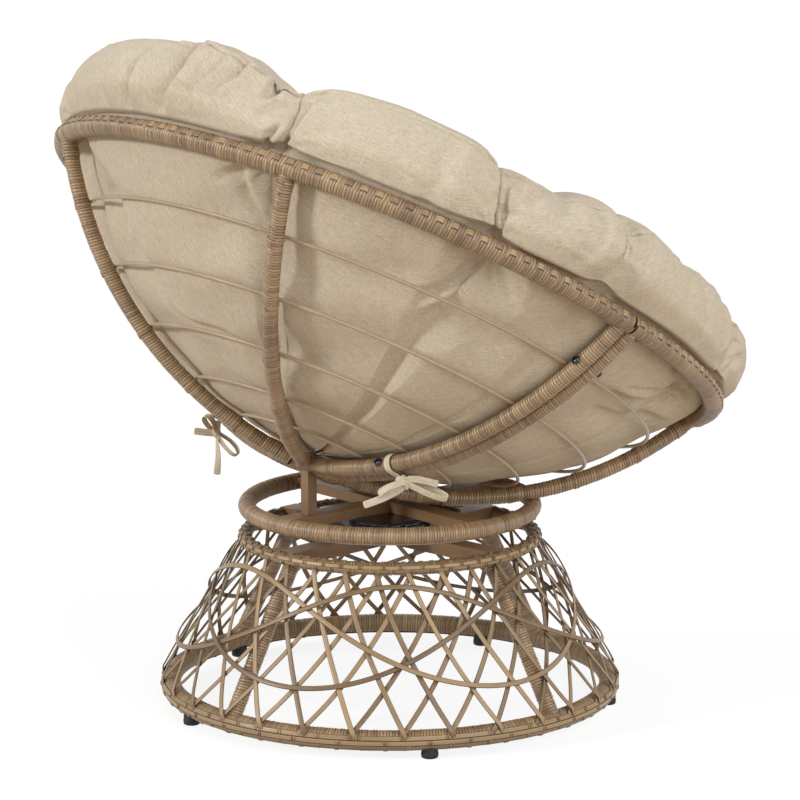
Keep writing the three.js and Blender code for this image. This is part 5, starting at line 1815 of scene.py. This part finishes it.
class PAPASAN_OT_ties(PapasanOperator, bpy.types.Operator):
    """Ties the two tapes that hold the cushion to the seam"""
    bl_idname = "papasan.ties"
    bl_label = "Tied tapes"

    def execute(self, context):
        t = context.scene.papasan_tie
        toward = np.array([math.sin(t.facing), -math.cos(t.facing), 0])
        up = np.array([0.0, 0.0, 1.0])
        self.axes = np.stack([np.cross(up, toward), up, toward])
        self.tie("right", t.right_share * rim_polar())
        self.tie("left", -t.left_share * rim_polar())
        return {"FINISHED"}

    def tie(self, side, polar):
        t = bpy.context.scene.papasan_tie
        bow = BOWS[side]
        place = bowl_matrix() @ seam_place(polar)
        tape = Tape(t.width, t.thickness)
        bottom = self.strap(tape, place)
        offset, half, radius, lean = bow["knot"]
        knot = bottom + np.array(offset) / 1000 @ self.axes
        lean = math.radians(lean)
        axis = math.cos(lean) * self.axes[0] + math.sin(lean) * self.axes[1]
        tape.knot(knot, axis, self.axes[2], half / 1000, radius / 1000)
        toward = self.axes[2]
        link = through([bottom - 0.004 * toward, bottom * 0.6 + knot * 0.4 + 0.002 * toward, knot], 8)
        tape.strip(link, self.faces_of(link, np.full(9, math.radians(80))))
        for degrees, reach, opening, roll in bow["loops"]:
            self.loop(tape, knot, math.radians(degrees), reach / 1000, opening / 1000, math.radians(roll))
        for points, first, last in bow["tails"]:
            route = knot + through(np.array(points, float) / 1000, 16) @ self.axes
            tape.strip(route, self.faces_of(route, np.radians(np.linspace(first, last, 17))))
        tape.piece(f"tie_{side}")

    def strap(self, tape, place):
        """The part of the tape that goes round both seam tubes, and its lowest point."""
        b = bowl_sizes()
        t = bpy.context.scene.papasan_tie
        reach = b.seam_tube + cane_sizes().lashing + t.thickness
        turn = np.linspace(-math.pi / 2, math.pi / 2, 10)
        half = np.stack([np.zeros(10), seam_offset() + reach * np.cos(turn), reach * np.sin(turn)], -1)
        loop = np.vstack([half, half[::-1] * np.array([1, -1, 1])])
        outs = loop - np.sign(loop[:, 1:2]) * np.array([[0, 1, 0]]) * seam_offset()
        turned = np.array(place.to_3x3()).T
        start = np.array(place.translation)
        tape.strip(loop @ turned + start, outs @ turned, closed=True)
        return np.array([0, 0, reach + 0.003]) @ turned + start

    def faces_of(self, route, rolls):
        """Directions that a strip faces, from how far it is rolled about its route."""
        along = unit(np.gradient(route, axis=0))
        toward = self.axes[2]
        beside = unit(np.cross(toward, along))
        across = np.cos(rolls)[:, None] * toward + np.sin(rolls)[:, None] * beside
        return np.cross(across, along)

    def loop(self, tape, knot, direction, reach, opening, roll):
        right, up, toward = self.axes
        along = math.cos(direction) * right + math.sin(direction) * up
        beside = -math.sin(direction) * right + math.cos(direction) * up
        across = math.cos(roll) * toward + math.sin(roll) * beside
        square = math.cos(roll) * beside - math.sin(roll) * toward
        shares = through(LOOP_SHARES, 34)
        route = knot + shares[:, :1] * reach * along + shares[:, 1:] * opening * square
        route = route + 0.006 * shares[:, :1] ** 2 * toward
        tape.strip(route, np.cross(across, unit(np.gradient(route, axis=0))))


# A tape's section, as shares of its half width and half thickness, and its own place among the cloth panels
TAPE_SECTION = [(-1, -0.6), (-1, 0.6), (-0.5, 1.25), (0, 0.8), (0.5, 1.25), (1, 0.6), (1, -0.6), (0.5, -1),
                (-0.5, -1)]
TAPE_PANEL = 7.0


class Tape:
    """Collects flat strips of folded cloth tape, and a knot."""

    def __init__(self, width, thickness):
        self.width = width
        self.thickness = thickness
        self.points = []
        self.faces = []
        self.cloth = []

    def strip(self, points, outs, closed=False):
        across, outs = directions(points, outs, closed)
        self.faces += tube_faces(len(points), len(TAPE_SECTION), len(self.points), closed)
        run = travelled(points)
        for row in range(len(points)):
            for u, h in TAPE_SECTION:
                place = points[row] + across[row] * u * self.width / 2 + outs[row] * h * self.thickness / 2
                self.points.append(place)
                self.cloth.append((run[row], u * self.width / 2, TAPE_PANEL))

    def knot(self, middle, axis, toward, half, radius):
        """A drawn knot: a short fat wrap with creases along it."""
        rows, sides = 13, 24
        self.faces += tube_faces(rows, sides, len(self.points))
        beside = np.cross(toward, axis)
        for row in range(rows):
            along = (row / (rows - 1) - 0.5) * 2
            swell = math.sqrt(max(0.12, 1 - along ** 2))
            for k in range(sides):
                turn = 2 * math.pi * k / sides
                fold = 1 + 0.13 * math.cos(4 * turn + 2.4 * along)
                reach = radius * swell * fold
                self.points.append(middle + axis * along * half + beside * reach * math.cos(turn)
                                   + toward * reach * 0.9 * math.sin(turn))
                self.cloth.append((along * half, k * 0.0015, TAPE_PANEL))

    def piece(self, node):
        mesh = bpy.data.meshes.new(f"{node}_tape")
        mesh.from_pydata([tuple(p) for p in self.points], [], self.faces)
        write(mesh, "cloth", "FLOAT_VECTOR", self.cloth)
        cleaned(mesh)
        obj = place_piece(f"{node}_tape", mesh, finish("Tie tape"), "seat", [node])
        smooth = obj.modifiers.new("Smooth tape", "SUBSURF")
        smooth.levels = 1
        smooth.render_levels = 1


class PAPASAN_PT_panel(bpy.types.Panel):
    """Lists the makers of the chair's pieces"""
    bl_idname = "PAPASAN_PT_panel"
    bl_label = "Papasan chair"
    bl_space_type = "VIEW_3D"
    bl_region_type = "UI"
    bl_category = "Papasan"

    def draw(self, context):
        for operator in OPERATORS:
            self.layout.operator(operator.bl_idname)


OPERATORS = [
    PAPASAN_OT_stage,
    PAPASAN_OT_bowl,
    PAPASAN_OT_rods,
    PAPASAN_OT_swivel,
    PAPASAN_OT_rings,
    PAPASAN_OT_legs,
    PAPASAN_OT_skirt,
    PAPASAN_OT_bolts,
    PAPASAN_OT_cushion,
    PAPASAN_OT_ties,
]


def register():
    for group in GROUPS.values():
        bpy.utils.register_class(group)
    for operator in OPERATORS:
        bpy.utils.register_class(operator)
    bpy.utils.register_class(PAPASAN_PT_panel)
    for name, group in GROUPS.items():
        setattr(bpy.types.Scene, name, bpy.props.PointerProperty(type=group))


def unregister():
    for name in GROUPS:
        delattr(bpy.types.Scene, name)
    bpy.utils.unregister_class(PAPASAN_PT_panel)
    for operator in reversed(OPERATORS):
        bpy.utils.unregister_class(operator)
    for group in reversed(GROUPS.values()):
        bpy.utils.unregister_class(group)


def main():
    register()
    for operator in OPERATORS:
        family, name = operator.bl_idname.split(".")
        getattr(getattr(bpy.ops, family), name)()


if __name__ == "__main__":
    main()
